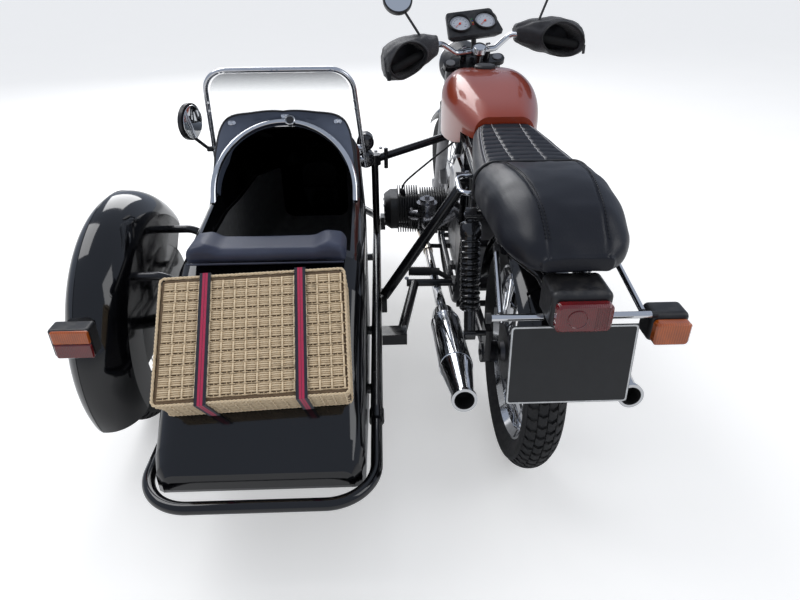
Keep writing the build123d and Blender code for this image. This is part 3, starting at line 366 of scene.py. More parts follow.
def striped_webbing():
    """Navy webbing with a crimson stripe down its middle, ribbed across."""
    finish = Finish("striped_webbing", (0.012, 0.015, 0.04), 0.7, Sheen_Weight=0.2)
    place = hamper_place()
    y, z = finish.axes()[1:]
    away = finish.node("ShaderNodeVectorMath", {"operation": "SUBTRACT"},
                       {0: finish.place, 1: tuple(place.translation)})
    x = finish.node("ShaderNodeVectorMath", {"operation": "DOT_PRODUCT"},
                    {0: away, 1: tuple(place.to_3x3().col[0])}, "Value")
    middle = ((x - 0.001).size() - 0.103).size()
    crimson = (middle < 0.0056) * (middle > 0.0004)
    thread = ((y + z) * 4200.0).wave() * 0.5 + 0.5
    color = finish.mix(crimson, (0.010, 0.012, 0.028), (0.54, 0.015, 0.085))
    finish.feed("Base Color", finish.mix(thread * 0.15, color, (0.02, 0.018, 0.03)))
    finish.feed("Roughness", 0.62 + thread * 0.2)
    return finish.bump(thread, 0.0004, 0.7).material


def clear_panel():
    """Clear sheet with faint scratches and a smoked band along its top."""
    finish = Finish("clear_panel", (0.80, 0.86, 0.88), 0.03, Specular_IOR_Level=0.6)
    z = finish.axes(finish.moved(at(0, 0, 0)))[2]
    band = z.cut(*SMOKED_BAND)
    scratch = finish.noise(14.0, 6.0, 0.8, finish.moved((0, 0, 0), turn=(0, 0, 0.7), scale=(1, 30, 8))).cut(0.62, 0.8)
    finish.feed("Base Color", finish.mix(band, (0.80, 0.86, 0.88), (0.05, 0.07, 0.10)))
    finish.feed("Alpha", 0.13 + band * 0.35 + scratch * 0.10)
    finish.material.surface_render_method = "DITHERED"
    return finish.feed("Roughness", 0.02 + scratch * 0.25).material


# Radians in a metre of flutes that are one millimetre apart
METRE_TURNS = 6283.0


def ribbed_lens(name, color, pitch):
    """Moulded lamp lens with fine flutes inside, a pitch in millimetres apart, and a clear face."""
    finish = Finish(name, color, 0.10, coat=0.8, Specular_IOR_Level=0.6)
    x, y = finish.axes()[:2]
    flutes = ((x + y * 0.2) * (METRE_TURNS / pitch)).wave() * 0.5 + 0.5
    depth = finish.noise(35.0).cut(0.3, 0.7)
    dark = tuple(c * 0.45 for c in color)
    finish.feed("Base Color", finish.mix(flutes * 0.4 + depth * 0.4, dark, tuple(color)))
    return finish.feed("Roughness", 0.08 + flutes * 0.08).bump(flutes, 0.0006, 0.35).material


def lamp_glass():
    """The headlamp's fluted glass over its bright bowl."""
    finish = Finish("lamp_glass", (0.75, 0.77, 0.80), 0.06, metallic=0.6, coat=1.0)
    x = finish.axes()[0]
    flutes = (x * 700.0).wave() * 0.5 + 0.5
    return finish.feed("Roughness", 0.05 + flutes * 0.12).bump(flutes, 0.001, 0.5).material


def mirror_glass():
    """Silvered glass with a little road film."""
    finish = Finish("mirror_glass", (0.80, 0.82, 0.84), 0.02, metallic=1.0)
    return finish.feed("Roughness", finish.noise(30.0, 5.0).cut(0.5, 0.9) * 0.12 + 0.01).material


def plain(name, color, roughness, metallic=0.0, coat=0.0):
    """A small fitting's finish, with its own drift of tone and a fine tooth."""
    return toothed(name, color, roughness, (0.18, 40.0, 0.12), (650.0, 3.0, 0.0002, 0.3), metallic=metallic, coat=coat)


def wheel_finish(body, rim_edge, hub_edge, hub_color):
    """Chrome rim, bright spokes and a cast hub, told apart by their distance from the axle."""
    finish = Finish(f"{body}_finish", (0.70, 0.71, 0.73), 0.08, metallic=1.0)
    away = round_axle(finish, body)
    rim = away > rim_edge
    hub = away < hub_edge
    grime = finish.noise(60.0, 5.0, 0.7).cut(0.4, 0.8)
    spokes = finish.mix(grime * 0.6, (0.50, 0.51, 0.53), (0.16, 0.15, 0.14))
    color = finish.mix(rim, spokes, finish.mix(grime * 0.25, (0.72, 0.73, 0.75), (0.30, 0.29, 0.28)))
    finish.feed("Base Color", finish.mix(hub, color, hub_color))
    finish.feed("Roughness", 0.08 + hub * 0.34 + grime * 0.14 - rim * 0.03)
    return finish.material


# Mesh making

def join(bm, low, high):
    """Bridge two rings of the same count, or a ring and a single point."""
    count = max(len(low), len(high))
    for i in range(count):
        k = (i + 1) % count
        if len(low) == 1:
            bm.faces.new((low[0], high[k], high[i]))
        elif len(high) == 1:
            bm.faces.new((low[i], low[k], high[0]))
        else:
            bm.faces.new((low[i], low[k], high[k], high[i]))


def stack(bm, rings, closed=True):
    """Skin rings of points in order and cap both ends."""
    made = [[bm.verts.new(point) for point in ring] for ring in rings]
    for low, high in zip(made, made[1:]):
        join(bm, low, high)
    if closed and len(made[0]) > 1:
        bm.faces.new(list(reversed(made[0])))
    if closed and len(made[-1]) > 1:
        bm.faces.new(made[-1])
    return made


def lathe(bm, profile, place, steps=40):
    """Turn (along, radius) millimetre points about the local Z of a placing matrix."""
    rings = []
    for along, radius in profile:
        turns = [math.tau * i / steps for i in range(steps if radius else 1)]
        rings.append([place @ Vector((radius * math.cos(turn), radius * math.sin(turn), along)) for turn in turns])
    scaled = [[place.translation + (point - place.translation) / 1000 for point in ring] for ring in rings]
    return stack(bm, scaled, closed=True)


def rounded(half_x, half_y, corner, per=6):
    """The corners of a rounded rectangle, counter-clockwise, in its own millimetres."""
    points = []
    for quarter, (sx, sy) in enumerate(((1, 1), (-1, 1), (-1, -1), (1, -1))):
        for i in range(per + 1):
            angle = math.pi / 2 * (quarter + i / per)
            points.append((sx * (half_x - corner) + corner * math.cos(angle),
                           sy * (half_y - corner) + corner * math.sin(angle)))
    return points


def slab(bm, half_x, half_y, thick, corner, place, edge=1.0):
    """A rounded plate with softened edges, standing on the placing matrix's XY plane."""
    rings = []
    for z, inset in ((0, edge), (edge, 0), (thick - edge, 0), (thick, edge)):
        outline = rounded(half_x - inset, half_y - inset, max(corner - inset, 0.1))
        rings.append([place @ (Vector((x, y, z)) / 1000) for x, y in outline])
    return stack(bm, rings)


def smooth_path(points, per=8):
    """A Catmull-Rom line through control points."""
    points = [Vector(p) for p in points]
    line = []
    padded = [2 * points[0] - points[1]] + points + [2 * points[-1] - points[-2]]
    for a, b, c, d in zip(padded, padded[1:], padded[2:], padded[3:]):
        for i in range(per):
            t = i / per
            line.append(0.5 * (2 * b + (c - a) * t + (2 * a - 5 * b + 4 * c - d) * t * t
                               + (3 * b - a - 3 * c + d) * t * t * t))
    line.append(points[-1])
    return line


def hose(bm, line, radius, sides=10):
    """A round skin along a line, with a radius in millimetres that may be a function of 0..1."""
    rings = []
    side = None
    for i, point in enumerate(line):
        ahead = (line[min(i + 1, len(line) - 1)] - line[max(i - 1, 0)]).normalized()
        if side is None:
            side = ahead.orthogonal()
        side = (side - ahead * side.dot(ahead)).normalized()
        other = ahead.cross(side)
        thick = (radius(i / (len(line) - 1)) if callable(radius) else radius) / 1000
        rings.append([point + (side * math.cos(math.tau * k / sides) + other * math.sin(math.tau * k / sides)) * thick
                      for k in range(sides)])
    return stack(bm, rings)


def between(rows, place):
    """A table's numbers at any place of its first column, eased smoothly through its rows."""
    rows = sorted(rows)
    index = min(max(sum(row[0] <= place for row in rows) - 1, 0), len(rows) - 2)
    low, high = rows[index], rows[index + 1]
    before, after = rows[max(index - 1, 0)], rows[min(index + 2, len(rows) - 1)]
    span = high[0] - low[0]
    t = (place - low[0]) / span
    values = []
    for a, b, c, d in zip(before, low, high, after):
        leave = (c - a) / (high[0] - before[0]) * span
        arrive = (d - b) / (after[0] - low[0]) * span
        values.append((2 * t ** 3 - 3 * t * t + 1) * b + (t ** 3 - 2 * t * t + t) * leave
                      + (3 * t * t - 2 * t ** 3) * c + (t ** 3 - t * t) * arrive)
    return values


def even(points, count):
    """A closed line's points, spaced evenly, each with the way out of the line."""
    points = [Vector(p) for p in points]
    steps = [(b - a).length for a, b in zip(points, points[1:] + points[:1])]
    total = sum(steps)
    spaced = []
    index, gone = 0, 0.0
    for k in range(count):
        goal = total * k / count
        while gone + steps[index] < goal:
            gone += steps[index]
            index += 1
        spaced.append(points[index].lerp(points[(index + 1) % len(points)], (goal - gone) / max(steps[index], 1e-9)))
    ways = [(spaced[(k + 1) % count] - spaced[k - 1]).normalized() for k in range(count)]
    return [(p.x, p.y, way.y, -way.x) for p, way in zip(spaced, ways)]


def even_open(line, count):
    """Points spaced evenly along an open line."""
    steps = [0.0]
    for a, b in zip(line, line[1:]):
        steps.append(steps[-1] + (b - a).length)
    points = []
    for k in range(count):
        goal = steps[-1] * k / (count - 1)
        index = min(max(sum(step <= goal for step in steps) - 1, 0), len(line) - 2)
        part = (goal - steps[index]) / (steps[index + 1] - steps[index])
        points.append(line[index].lerp(line[index + 1], part))
    return points


def section_ring(middle, half, low, high, top_corner, low_corner, count):
    """Points (x, z, way out) round a section with rounded corners, from the right of its foot."""
    points = []
    for sx, cz, corner, start in ((1, low + low_corner, low_corner, -90), (1, high - top_corner, top_corner, 0),
                                  (-1, high - top_corner, top_corner, 90), (-1, low + low_corner, low_corner, 180)):
        for i in range(13):
            angle = math.radians(start + 7.5 * i)
            points.append((middle + sx * (half - corner) + corner * math.cos(angle), cz + corner * math.sin(angle)))
    return even(points, count)


def skinned(bm, rows, places, push, count=120, ends=(0, 0)):
    """Skin a table of sections, each point pushed out by push(x, y, z, up) and both ends rounded over."""
    low_end, high_end = ends
    spots = [(y, y, 0) for y in places]
    for end, sign, spot in ((low_end, -1, places[0]), (high_end, 1, places[-1])):
        extra = [(spot + sign * end * math.sin(math.radians(a)), spot, end * (1 - math.cos(math.radians(a))))
                 for a in (25, 50, 72, 90)] if end else []
        spots = spots + extra if sign > 0 else extra[::-1] + spots
    rings = []
    for y, section_y, inset in spots:
        ring = []
        for x, z, nx, nz in section_ring(*between(rows, section_y)[1:], count):
            out = push(x, section_y, z, nz) - inset
            ring.append(at(x + nx * out, y, z + nz * out))
        rings.append(ring)
    return stack(bm, rings)


def crown_at(rows, x, y):
    """How high a table of sections stands over a point."""
    _, middle, half, _, high, corner, _ = between(rows, y)
    over = max(abs(x - middle) - (half - corner), 0)
    return high - corner + math.sqrt(max(corner * corner - over * over, 0))


def soft_step(value, low, high):
    """0 below low, 1 above high and an eased rise between them."""
    t = min(max((value - low) / (high - low), 0), 1)
    return t * t * (3 - 2 * t)


def dent(distance, width):
    """1 at no distance, falling away as a bell of the given width."""
    return math.exp(-(distance / width) ** 2)


def bead(bm, points, radius, sides=8):
    """A closed cord of round section, such as piping."""
    line = points + points[:1]
    hose(bm, line, radius, sides)


def lettering(bm, words, size, place):
    """A number's own mesh, laid on the XY plane of a placing matrix."""
    curve = bpy.data.curves.new("words", "FONT")
    curve.body = words
    curve.size = size / 1000
    curve.align_x, curve.align_y = "CENTER", "CENTER"
    curve.resolution_u = 2
    curve.extrude = 0.0001
    holder = linked("words", curve)
    mesh = bpy.data.meshes.new_from_object(holder.evaluated_get(bpy.context.evaluated_depsgraph_get()))
    mesh.transform(place)
    bm.from_mesh(mesh)
    bpy.data.objects.remove(holder)
    bpy.data.meshes.remove(mesh)


def linked(name, data):
    """A new object in the scene."""
    made = bpy.data.objects.new(name, data)
    bpy.context.scene.collection.objects.link(made)
    return made


def baked(made):
    """Turn an object's live modifiers into its plain mesh."""
    mesh = bpy.data.meshes.new_from_object(made.evaluated_get(bpy.context.evaluated_depsgraph_get()))
    made.modifiers.clear()
    made.data = mesh


# Cloth that is blown up: the voxel of its even mesh in metres, its pressure and how many frames it has
PUFF_VOXEL, PUFF_PRESSURE, PUFF_FRAMES = 0.006, 4.0, 20


def puffed(name, bm, body, finish, cap, fill, *replaced):
    """Blow a plain form up as cloth, hold each point within a cap in millimetres, and keep it as a padded piece."""
    bmesh.ops.recalc_face_normals(bm, faces=bm.faces)
    mesh = bpy.data.meshes.new(name)
    bm.to_mesh(mesh)
    bm.free()
    made = linked(name, mesh)
    scene = bpy.context.scene
    remesh = made.modifiers.new("even_faces", "REMESH")
    remesh.mode = "VOXEL"
    remesh.voxel_size = PUFF_VOXEL
    baked(made)
    rest = [vertex.co.copy() for vertex in made.data.vertices]
    cloth = made.modifiers.new("cloth", "CLOTH")
    cloth.settings.use_pressure = True
    cloth.settings.uniform_pressure_force = PUFF_PRESSURE
    cloth.settings.effector_weights.gravity = 0.0
    for step in range(1, PUFF_FRAMES + 1):
        scene.frame_set(step)
    baked(made)
    scene.frame_set(1)
    for vertex, start in zip(made.data.vertices, rest):
        move = vertex.co - start
        if move.length > cap / 1000:
            vertex.co = start + move.normalized() * cap / 1000
    made.modifiers.new("smooth", "SUBSURF").levels = 1
    baked(made)
    made.data.shade_smooth()
    made.data.materials.clear()
    made.data.materials.append(finish)
    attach(made, body)
    if replaced:
        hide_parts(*replaced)
    return made


def piece(name, bm, body, finish, *replaced, crease=35):
    """Turn a finished bmesh into a piece that rides on a body and may stand for CAD nodes."""
    bmesh.ops.recalc_face_normals(bm, faces=bm.faces)
    for face in bm.faces:
        face.smooth = True
    for edge in bm.edges:
        edge.smooth = len(edge.link_faces) == 2 and edge.calc_face_angle(0) < math.radians(crease)
    mesh = bpy.data.meshes.new(name)
    bm.to_mesh(mesh)
    bm.free()
    mesh.materials.append(finish)
    made = linked(name, mesh)
    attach(made, body)
    if replaced:
        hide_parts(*replaced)
    return made


def turned(name, profile, place, steps, body, finish):
    """One lathed profile as a piece."""
    bm = bmesh.new()
    lathe(bm, profile, place, steps)
    return piece(name, bm, body, finish)


# Geometry Nodes

class Repeat:
    """A Geometry Nodes tree that is built link by link and then turned into a plain mesh."""

    def __init__(self, name, inputs):
        self.tree = bpy.data.node_groups.new(name, "GeometryNodeTree")
        self.tree.interface.new_socket("Geometry", in_out="INPUT", socket_type="NodeSocketGeometry")
        self.keys = {label: self.tree.interface.new_socket(label, in_out="INPUT", socket_type=kind).identifier
                     for label, kind in inputs.items()}
        self.tree.interface.new_socket("Geometry", in_out="OUTPUT", socket_type="NodeSocketGeometry")
        self.entry = self.tree.nodes.new("NodeGroupInput")
        self.exit = self.tree.nodes.new("NodeGroupOutput")

    def add(self, kind, settings=None, **inputs):
        made = self.tree.nodes.new(kind)
        for name, value in (settings or {}).items():
            setattr(made, name, value)
        for key, value in inputs.items():
            socket = made.inputs[int(key[1:])] if key.startswith("_") else made.inputs[key.replace("_", " ")]
            if isinstance(value, bpy.types.NodeSocket):
                self.tree.links.new(value, socket)
            else:
                socket.default_value = value
        return made

    def close(self, geometry, material):
        """End the tree in real geometry with its material."""
        real = self.add("GeometryNodeRealizeInstances", Geometry=geometry)
        painted = self.add("GeometryNodeSetMaterial", Geometry=real.outputs[0])
        painted.inputs["Material"].default_value = material
        self.tree.links.new(painted.outputs[0], self.exit.inputs[0])

    def run(self, name, mesh, body, values, *replaced):
        """Evaluate the tree on a mesh and keep the result as a piece that rides on a body."""
        source = linked(name + "_source", mesh)
        modifier = source.modifiers.new("repeat", "NODES")
        modifier.node_group = self.tree
        for label, value in values.items():
            modifier[self.keys[label]] = value
        depsgraph = bpy.context.evaluated_depsgraph_get()
        result = bpy.data.meshes.new_from_object(source.evaluated_get(depsgraph))
        source.modifiers.remove(modifier)
        bpy.data.objects.remove(source)
        made = linked(name, result)
        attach(made, body)
        if replaced:
            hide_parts(*replaced)
        return made


def points_mesh(name, places, aims=None, spins=None):
    """Loose points, each with the direction that its copy faces and the one its side follows."""
    mesh = bpy.data.meshes.new(name)
    mesh.from_pydata([tuple(p) for p in places], [], [])
    for label, vectors in (("aim", aims), ("spin", spins)):
        if vectors:
            attribute = mesh.attributes.new(label, "FLOAT_VECTOR", "POINT")
            attribute.data.foreach_set("vector", [c for v in vectors for c in v])
    return mesh


def turned_to_aim(tree):
    """The rotation that lays a copy's Z along the aim and its X along the spin."""
    aim = tree.add("GeometryNodeInputNamedAttribute", {"data_type": "FLOAT_VECTOR"}, Name="aim")
    spin = tree.add("GeometryNodeInputNamedAttribute", {"data_type": "FLOAT_VECTOR"}, Name="spin")
    first = tree.add("FunctionNodeAlignRotationToVector", {"axis": "Z"}, Vector=aim.outputs[0])
    return tree.add("FunctionNodeAlignRotationToVector", {"axis": "X", "pivot_axis": "Z"},
                    Rotation=first.outputs[0], Vector=spin.outputs[0])


def scattered(name, body, material, cell, places, aims, spins, loose=0.0):
    """Copy one small shape over placed points, by Geometry Nodes, with a seeded difference in size."""
    for face in cell.faces:
        face.smooth = True
    mesh = bpy.data.meshes.new(name + "_cell")
    cell.to_mesh(mesh)
    cell.free()
    shape_holder = bpy.data.objects.new(name + "_cell", mesh)
    tree = Repeat("scattered_shapes", {"Cell": "NodeSocketObject", "Loose": "NodeSocketFloat"})
    cell_in, loose_in = tree.entry.outputs[1:3]
    shape = tree.add("GeometryNodeObjectInfo", Object=cell_in)
    dots = tree.add("GeometryNodeMeshToPoints", Mesh=tree.entry.outputs[0])
    chance = tree.add("FunctionNodeRandomValue", {"data_type": "FLOAT"}, Seed=7)
    chance.inputs[2].default_value, chance.inputs[3].default_value = 0.94, 1.05
    size = tree.add("ShaderNodeMix", {"data_type": "FLOAT"}, _0=loose_in, _2=1.0, _3=chance.outputs[1])
    placed = tree.add("GeometryNodeInstanceOnPoints", Points=dots.outputs[0], Instance=shape.outputs["Geometry"],
                      Rotation=turned_to_aim(tree).outputs[0], Scale=size.outputs[0])
    tree.close(placed.outputs[0], material)
    made = tree.run(name, points_mesh(name + "_spots", places, aims, spins), body,
                    {"Cell": shape_holder, "Loose": loose})
    bpy.data.objects.remove(shape_holder)
    return made


def bolts(name, body, material, places, aims, across, tall, washer=1.35):
    """Hexagon heads on washers, set out by Geometry Nodes."""
    tree = Repeat("bolt_heads", {"Across": "NodeSocketFloat", "Tall": "NodeSocketFloat", "Washer": "NodeSocketFloat"})
    across_in, tall_in, washer_in = tree.entry.outputs[1:4]
    head = tree.add("GeometryNodeMeshCylinder", {"fill_type": "NGON"}, Vertices=6, Radius=across_in, Depth=tall_in)
    ring_radius = tree.add("ShaderNodeMath", {"operation": "MULTIPLY"}, _0=across_in, _1=washer_in)
    ring_tall = tree.add("ShaderNodeMath", {"operation": "MULTIPLY"}, _0=tall_in, _1=0.3)
    ring = tree.add("GeometryNodeMeshCylinder", {"fill_type": "NGON"}, Vertices=20, Radius=ring_radius.outputs[0],
                    Depth=ring_tall.outputs[0])
    both = tree.add("GeometryNodeJoinGeometry")
    tree.tree.links.new(head.outputs[0], both.inputs[0])
    tree.tree.links.new(ring.outputs[0], both.inputs[0])
    dots = tree.add("GeometryNodeMeshToPoints", Mesh=tree.entry.outputs[0])
    placed = tree.add("GeometryNodeInstanceOnPoints", Points=dots.outputs[0], Instance=both.outputs[0],
                      Rotation=turned_to_aim(tree).outputs[0])
    tree.close(placed.outputs[0], material)
    spins = [Vector(aim).orthogonal() for aim in aims]
    return tree.run(name, points_mesh(name, places, aims, spins), body,
                    {"Across": across / 2000, "Tall": tall / 1000, "Washer": washer})


def around_axle(name, body, block, count, material):
    """Copy one block round a wheel's axle, by Geometry Nodes, and lay the ring on the wheel."""
    tree = Repeat("ring_of_blocks", {"Blocks": "NodeSocketInt", "Step": "NodeSocketFloat"})
    blocks_in, step_in = tree.entry.outputs[1:3]
    dots = tree.add("GeometryNodePoints", Count=blocks_in)
    index = tree.add("GeometryNodeInputIndex")
    angle = tree.add("ShaderNodeMath", {"operation": "MULTIPLY"}, _0=index.outputs[0], _1=step_in)
    turn = tree.add("ShaderNodeCombineXYZ", X=angle.outputs[0])
    placed = tree.add("GeometryNodeInstanceOnPoints", Points=dots.outputs[0], Instance=tree.entry.outputs[0],
                      Rotation=turn.outputs[0])
    tree.close(placed.outputs[0], material)
    centre, axis = AXLES[body]
    side = Vector((1, 0, 0)).rotation_difference(axis).to_matrix().to_4x4()
    mesh = bpy.data.meshes.new(name)
    block.to_mesh(mesh)
    block.free()
    made = tree.run(name, mesh, body, {"Blocks": count, "Step": math.tau / count})
    made.data.transform(Matrix.Translation(centre) @ side)
    return made


def stitches(name, body, material, line, pitch, length, thick):
    """Short threads laid end to end along a line, by Geometry Nodes."""
    tree = Repeat("stitch_row", {"Pitch": "NodeSocketFloat", "Length": "NodeSocketFloat", "Thick": "NodeSocketFloat"})
    pitch_in, length_in, thick_in = tree.entry.outputs[1:4]
    curve = tree.add("GeometryNodeMeshToCurve", Mesh=tree.entry.outputs[0])
    dots = tree.add("GeometryNodeCurveToPoints", {"mode": "LENGTH"}, Curve=curve.outputs[0], Length=pitch_in)
    thread = tree.add("GeometryNodeMeshCylinder", {"fill_type": "NGON"}, Vertices=6, Radius=thick_in, Depth=length_in)
    placed = tree.add("GeometryNodeInstanceOnPoints", Points=dots.outputs[0], Instance=thread.outputs[0],
                      Rotation=dots.outputs["Rotation"])
    tree.close(placed.outputs[0], material)
    mesh = bpy.data.meshes.new(name)
    mesh.from_pydata([tuple(p) for p in line], [(i, i + 1) for i in range(len(line) - 1)], [])
    return tree.run(name, mesh, body, {"Pitch": pitch / 1000, "Length": length / 1000, "Thick": thick / 1000})


# Settings

class OutfitSettings(bpy.types.PropertyGroup):
    """Sizes and colours that a user would change."""
    seat_rib_pitch: bpy.props.FloatProperty(
        name="Seat rib pitch", description="Distance between the seat's cross ribs, in millimetres",
        default=38.0, min=15.0, max=80.0)
    weave_pitch: bpy.props.FloatProperty(
        name="Weave pitch", description="Distance between the hamper's stakes, in millimetres",
        default=25.6, min=15.0, max=50.0)
    weave_rows: bpy.props.FloatProperty(
        name="Weave rows", description="Distance between the weave's rows, in millimetres",
        default=23.6, min=15.0, max=50.0)
    tread_blocks: bpy.props.IntProperty(
        name="Tread blocks", description="Blocks round each tyre", default=58, min=24, max=90)
    floor_color: bpy.props.FloatVectorProperty(
        name="Floor", description="Colour of the studio floor", subtype="COLOR",
        default=(0.80, 0.80, 0.80), min=0.0, max=1.0)


class OUTFIT_OT_stage(bpy.types.Operator):
    """Lay the floor, the studio light and the camera"""
    bl_idname = "outfit.stage"
    bl_label = "Stage"

    def execute(self, context):
        scene = context.scene
        scene.view_settings.view_transform = "Standard"
        floor_finish = Finish("studio_floor", tuple(scene.outfit.floor_color), 0.75)
        floor_finish.worn(0.015, 2.0, 0.05)
        # The floor glows for the camera alone, so that it turns white and no light reaches the outfit
        tree = floor_finish.tree
        glow, seen, both, choice = [tree.nodes.new("ShaderNode" + kind)
                                    for kind in ("Emission", "LightPath", "AddShader", "MixShader")]
        glow.inputs["Strength"].default_value = FLOOR_GLOW
        painted = floor_finish.shader.outputs[0]
        for source, socket in ((painted, both.inputs[0]), (glow.outputs[0], both.inputs[1]),
                               (seen.outputs["Is Camera Ray"], choice.inputs[0]), (painted, choice.inputs[1]),
                               (both.outputs[0], choice.inputs[2]),
                               (choice.outputs[0], tree.nodes["Material Output"].inputs["Surface"])):
            tree.links.new(source, socket)
        bm = bmesh.new()
        bmesh.ops.create_grid(bm, x_segments=2, y_segments=2, size=60)
        mesh = bpy.data.meshes.new("floor")
        bm.to_mesh(mesh)
        bm.free()
        mesh.materials.append(floor_finish.material)
        floor = linked("floor", mesh)
        world = bpy.data.worlds.new("studio")
        world.use_nodes = True
        nodes, links = world.node_tree.nodes, world.node_tree.links
        rays = nodes.new("ShaderNodeLightPath")
        shown = nodes["Background"].outputs[0]
        soft = nodes["Background"].inputs
        soft["Color"].default_value, soft["Strength"].default_value = STUDIO_LIGHT
        for ray, color, strength in STUDIO_SEEN:
            light_seen, choice = nodes.new("ShaderNodeBackground"), nodes.new("ShaderNodeMixShader")
            light_seen.inputs["Color"].default_value = color
            light_seen.inputs["Strength"].default_value = strength
            links.new(rays.outputs[ray], choice.inputs[0])
            links.new(shown, choice.inputs[1])
            links.new(light_seen.outputs[0], choice.inputs[2])
            shown = choice.outputs[0]
        links.new(shown, nodes["World Output"].inputs["Surface"])
        scene.world = world
        for name, place, size, power, aim in LAMPS:
            light = bpy.data.lights.new(name, "AREA")
            light.size = size
            light.energy = power
            lamp = linked(name, light)
            lamp.location = place
            lamp.rotation_euler = (Vector(aim) - Vector(place)).to_track_quat("-Z", "Y").to_euler()
        yaw, pitch, roll = [math.radians(turn) for turn in (CAMERA_YAW, CAMERA_PITCH, CAMERA_ROLL)]
        forward = Vector((math.sin(yaw) * math.cos(pitch), math.cos(yaw) * math.cos(pitch), math.sin(pitch)))
        level = Vector((math.cos(yaw), -math.sin(yaw), 0))
        upright = level.cross(forward)
        right = math.cos(roll) * level + math.sin(roll) * upright
        up = math.cos(roll) * upright - math.sin(roll) * level
        camera = linked("camera", bpy.data.cameras.new("camera"))
        camera.data.lens = CAMERA_LENS
        camera.data.sensor_width = SENSOR_WIDTH
        turn = Matrix((right, up, -forward)).transposed().to_4x4()
        camera.matrix_world = Matrix.Translation(at(*CAMERA_PLACE)) @ turn
        scene.camera = camera
        return {"FINISHED"}


class OUTFIT_OT_finishes(bpy.types.Operator):
    """Give every carried-over node its finish"""
    bl_idname = "outfit.finishes"
    bl_label = "Finishes"

    def execute(self, context):
        ribbed_lens("red_lens", (0.19, 0.003, 0.006), 4.0)
        table = {
            simple("black_enamel"): ["sidecar_body", "sidecar_mudguard", "rear_mudguard", "front_mudguard",
                                     "side_panels", "bumper_loop"],
            simple("frame_black"): ["bike_frame", "sidecar_chassis", "sidecar_struts", "swing_arm", "fork_yokes"],
            plain("plate_black", (0.009, 0.010, 0.012), 0.35): ["number_plate"],
            orange_lacquer(): ["fuel_tank"],
            chrome(): ["lifting_handle", "cockpit_hoop", "handlebar"],
            exhaust_chrome(): ["exhausts"],
            simple("cast_alloy"): ["engine_block", "fork_legs"],
            simple("heat_black"): ["cylinders"],
            simple("tyre_rubber"): ["rear_tyre", "front_tyre", "sidecar_tyre"],
            simple("soft_rubber"): ["footrests"],
            simple("brushed_steel"): ["carburettors"],
            simple("screen_tube"): ["windscreen_frame"],
            moulded_black(): ["rear_lamp_housing", "filler_cap", "side_lamps", "sidecar_lamp", "bar_mirrors",
                              "sidecar_mirror", "headlamp", "instrument_binnacle"],
            hide("black_hide", (0.006, 0.007, 0.012), 0.34): ["seat"],
            hide("blue_hide", (0.038, 0.046, 0.080), 0.40): ["sidecar_backrest", "sidecar_cushion"],
            muff_cloth(): ["bar_muffs"],
            # The darker cane is painted shade: it colours the core inside the weave, whose dark shows through the gaps
            # as the shade within the hamper
            cane("painted_shade_cane", (0.15, 0.095, 0.05), (0.30, 0.20, 0.11)): ["hamper"],
            striped_webbing(): ["hamper_straps"],
            clear_panel(): ["windscreen"],
            ribbed_lens("amber_lens", (0.58, 0.11, 0.004), 5.0): ["lamp_lenses"],
            wheel_finish("rear_wheel", 0.215, 0.115, (0.10, 0.10, 0.105)): ["rear_wheel"],
            wheel_finish("front_wheel", 0.228, 0.070, (0.35, 0.35, 0.36)): ["front_wheel"],
            wheel_finish("sidecar_wheel", 0.215, 0.105, (0.10, 0.10, 0.105)): ["sidecar_wheel"],
            plain("shock_finish", (0.02, 0.02, 0.022), 0.16, coat=0.5): ["rear_shocks"],
        }
        for material, names in table.items():
            for name in names:
                node = frame["nodes"][name]
                node.data.materials.clear()
                node.data.materials.append(material)
        left = set(frame["nodes"]) - {name for names in table.values() for name in names}
        if left:
            raise RuntimeError(f"nodes without a finish: {sorted(left)}")
        return {"FINISHED"}


# A tyre's crown spans this share of its width and falls by this share of its wall at the shoulder
CROWN_SPAN, CROWN_FALL = 0.86, 0.30
# Tyres: body, node, then radius, rim radius and half width in millimetres
TYRES = (("rear_wheel", "rear_tyre", 322, 244, 52), ("front_wheel", "front_tyre", 328, 256, 42),
         ("sidecar_wheel", "sidecar_tyre", 316, 244, 46))
# Rows of tread blocks: from and to as shares of the half width, and how far each row is shifted in blocks
TREAD_ROWS = ((-0.84, -0.46, 0.5), (-0.41, -0.03, 0.0), (0.03, 0.41, 0.5), (0.46, 0.84, 0.0))


def crown_drop(radius, rim, half, x):
    """How far a tyre's crown has fallen below its middle, x millimetres to the side."""
    fall = CROWN_FALL * (radius - rim)
    round_radius = ((CROWN_SPAN * half) ** 2 + fall ** 2) / (2 * fall)
    return round_radius - math.sqrt(max(round_radius ** 2 - x * x, 0))


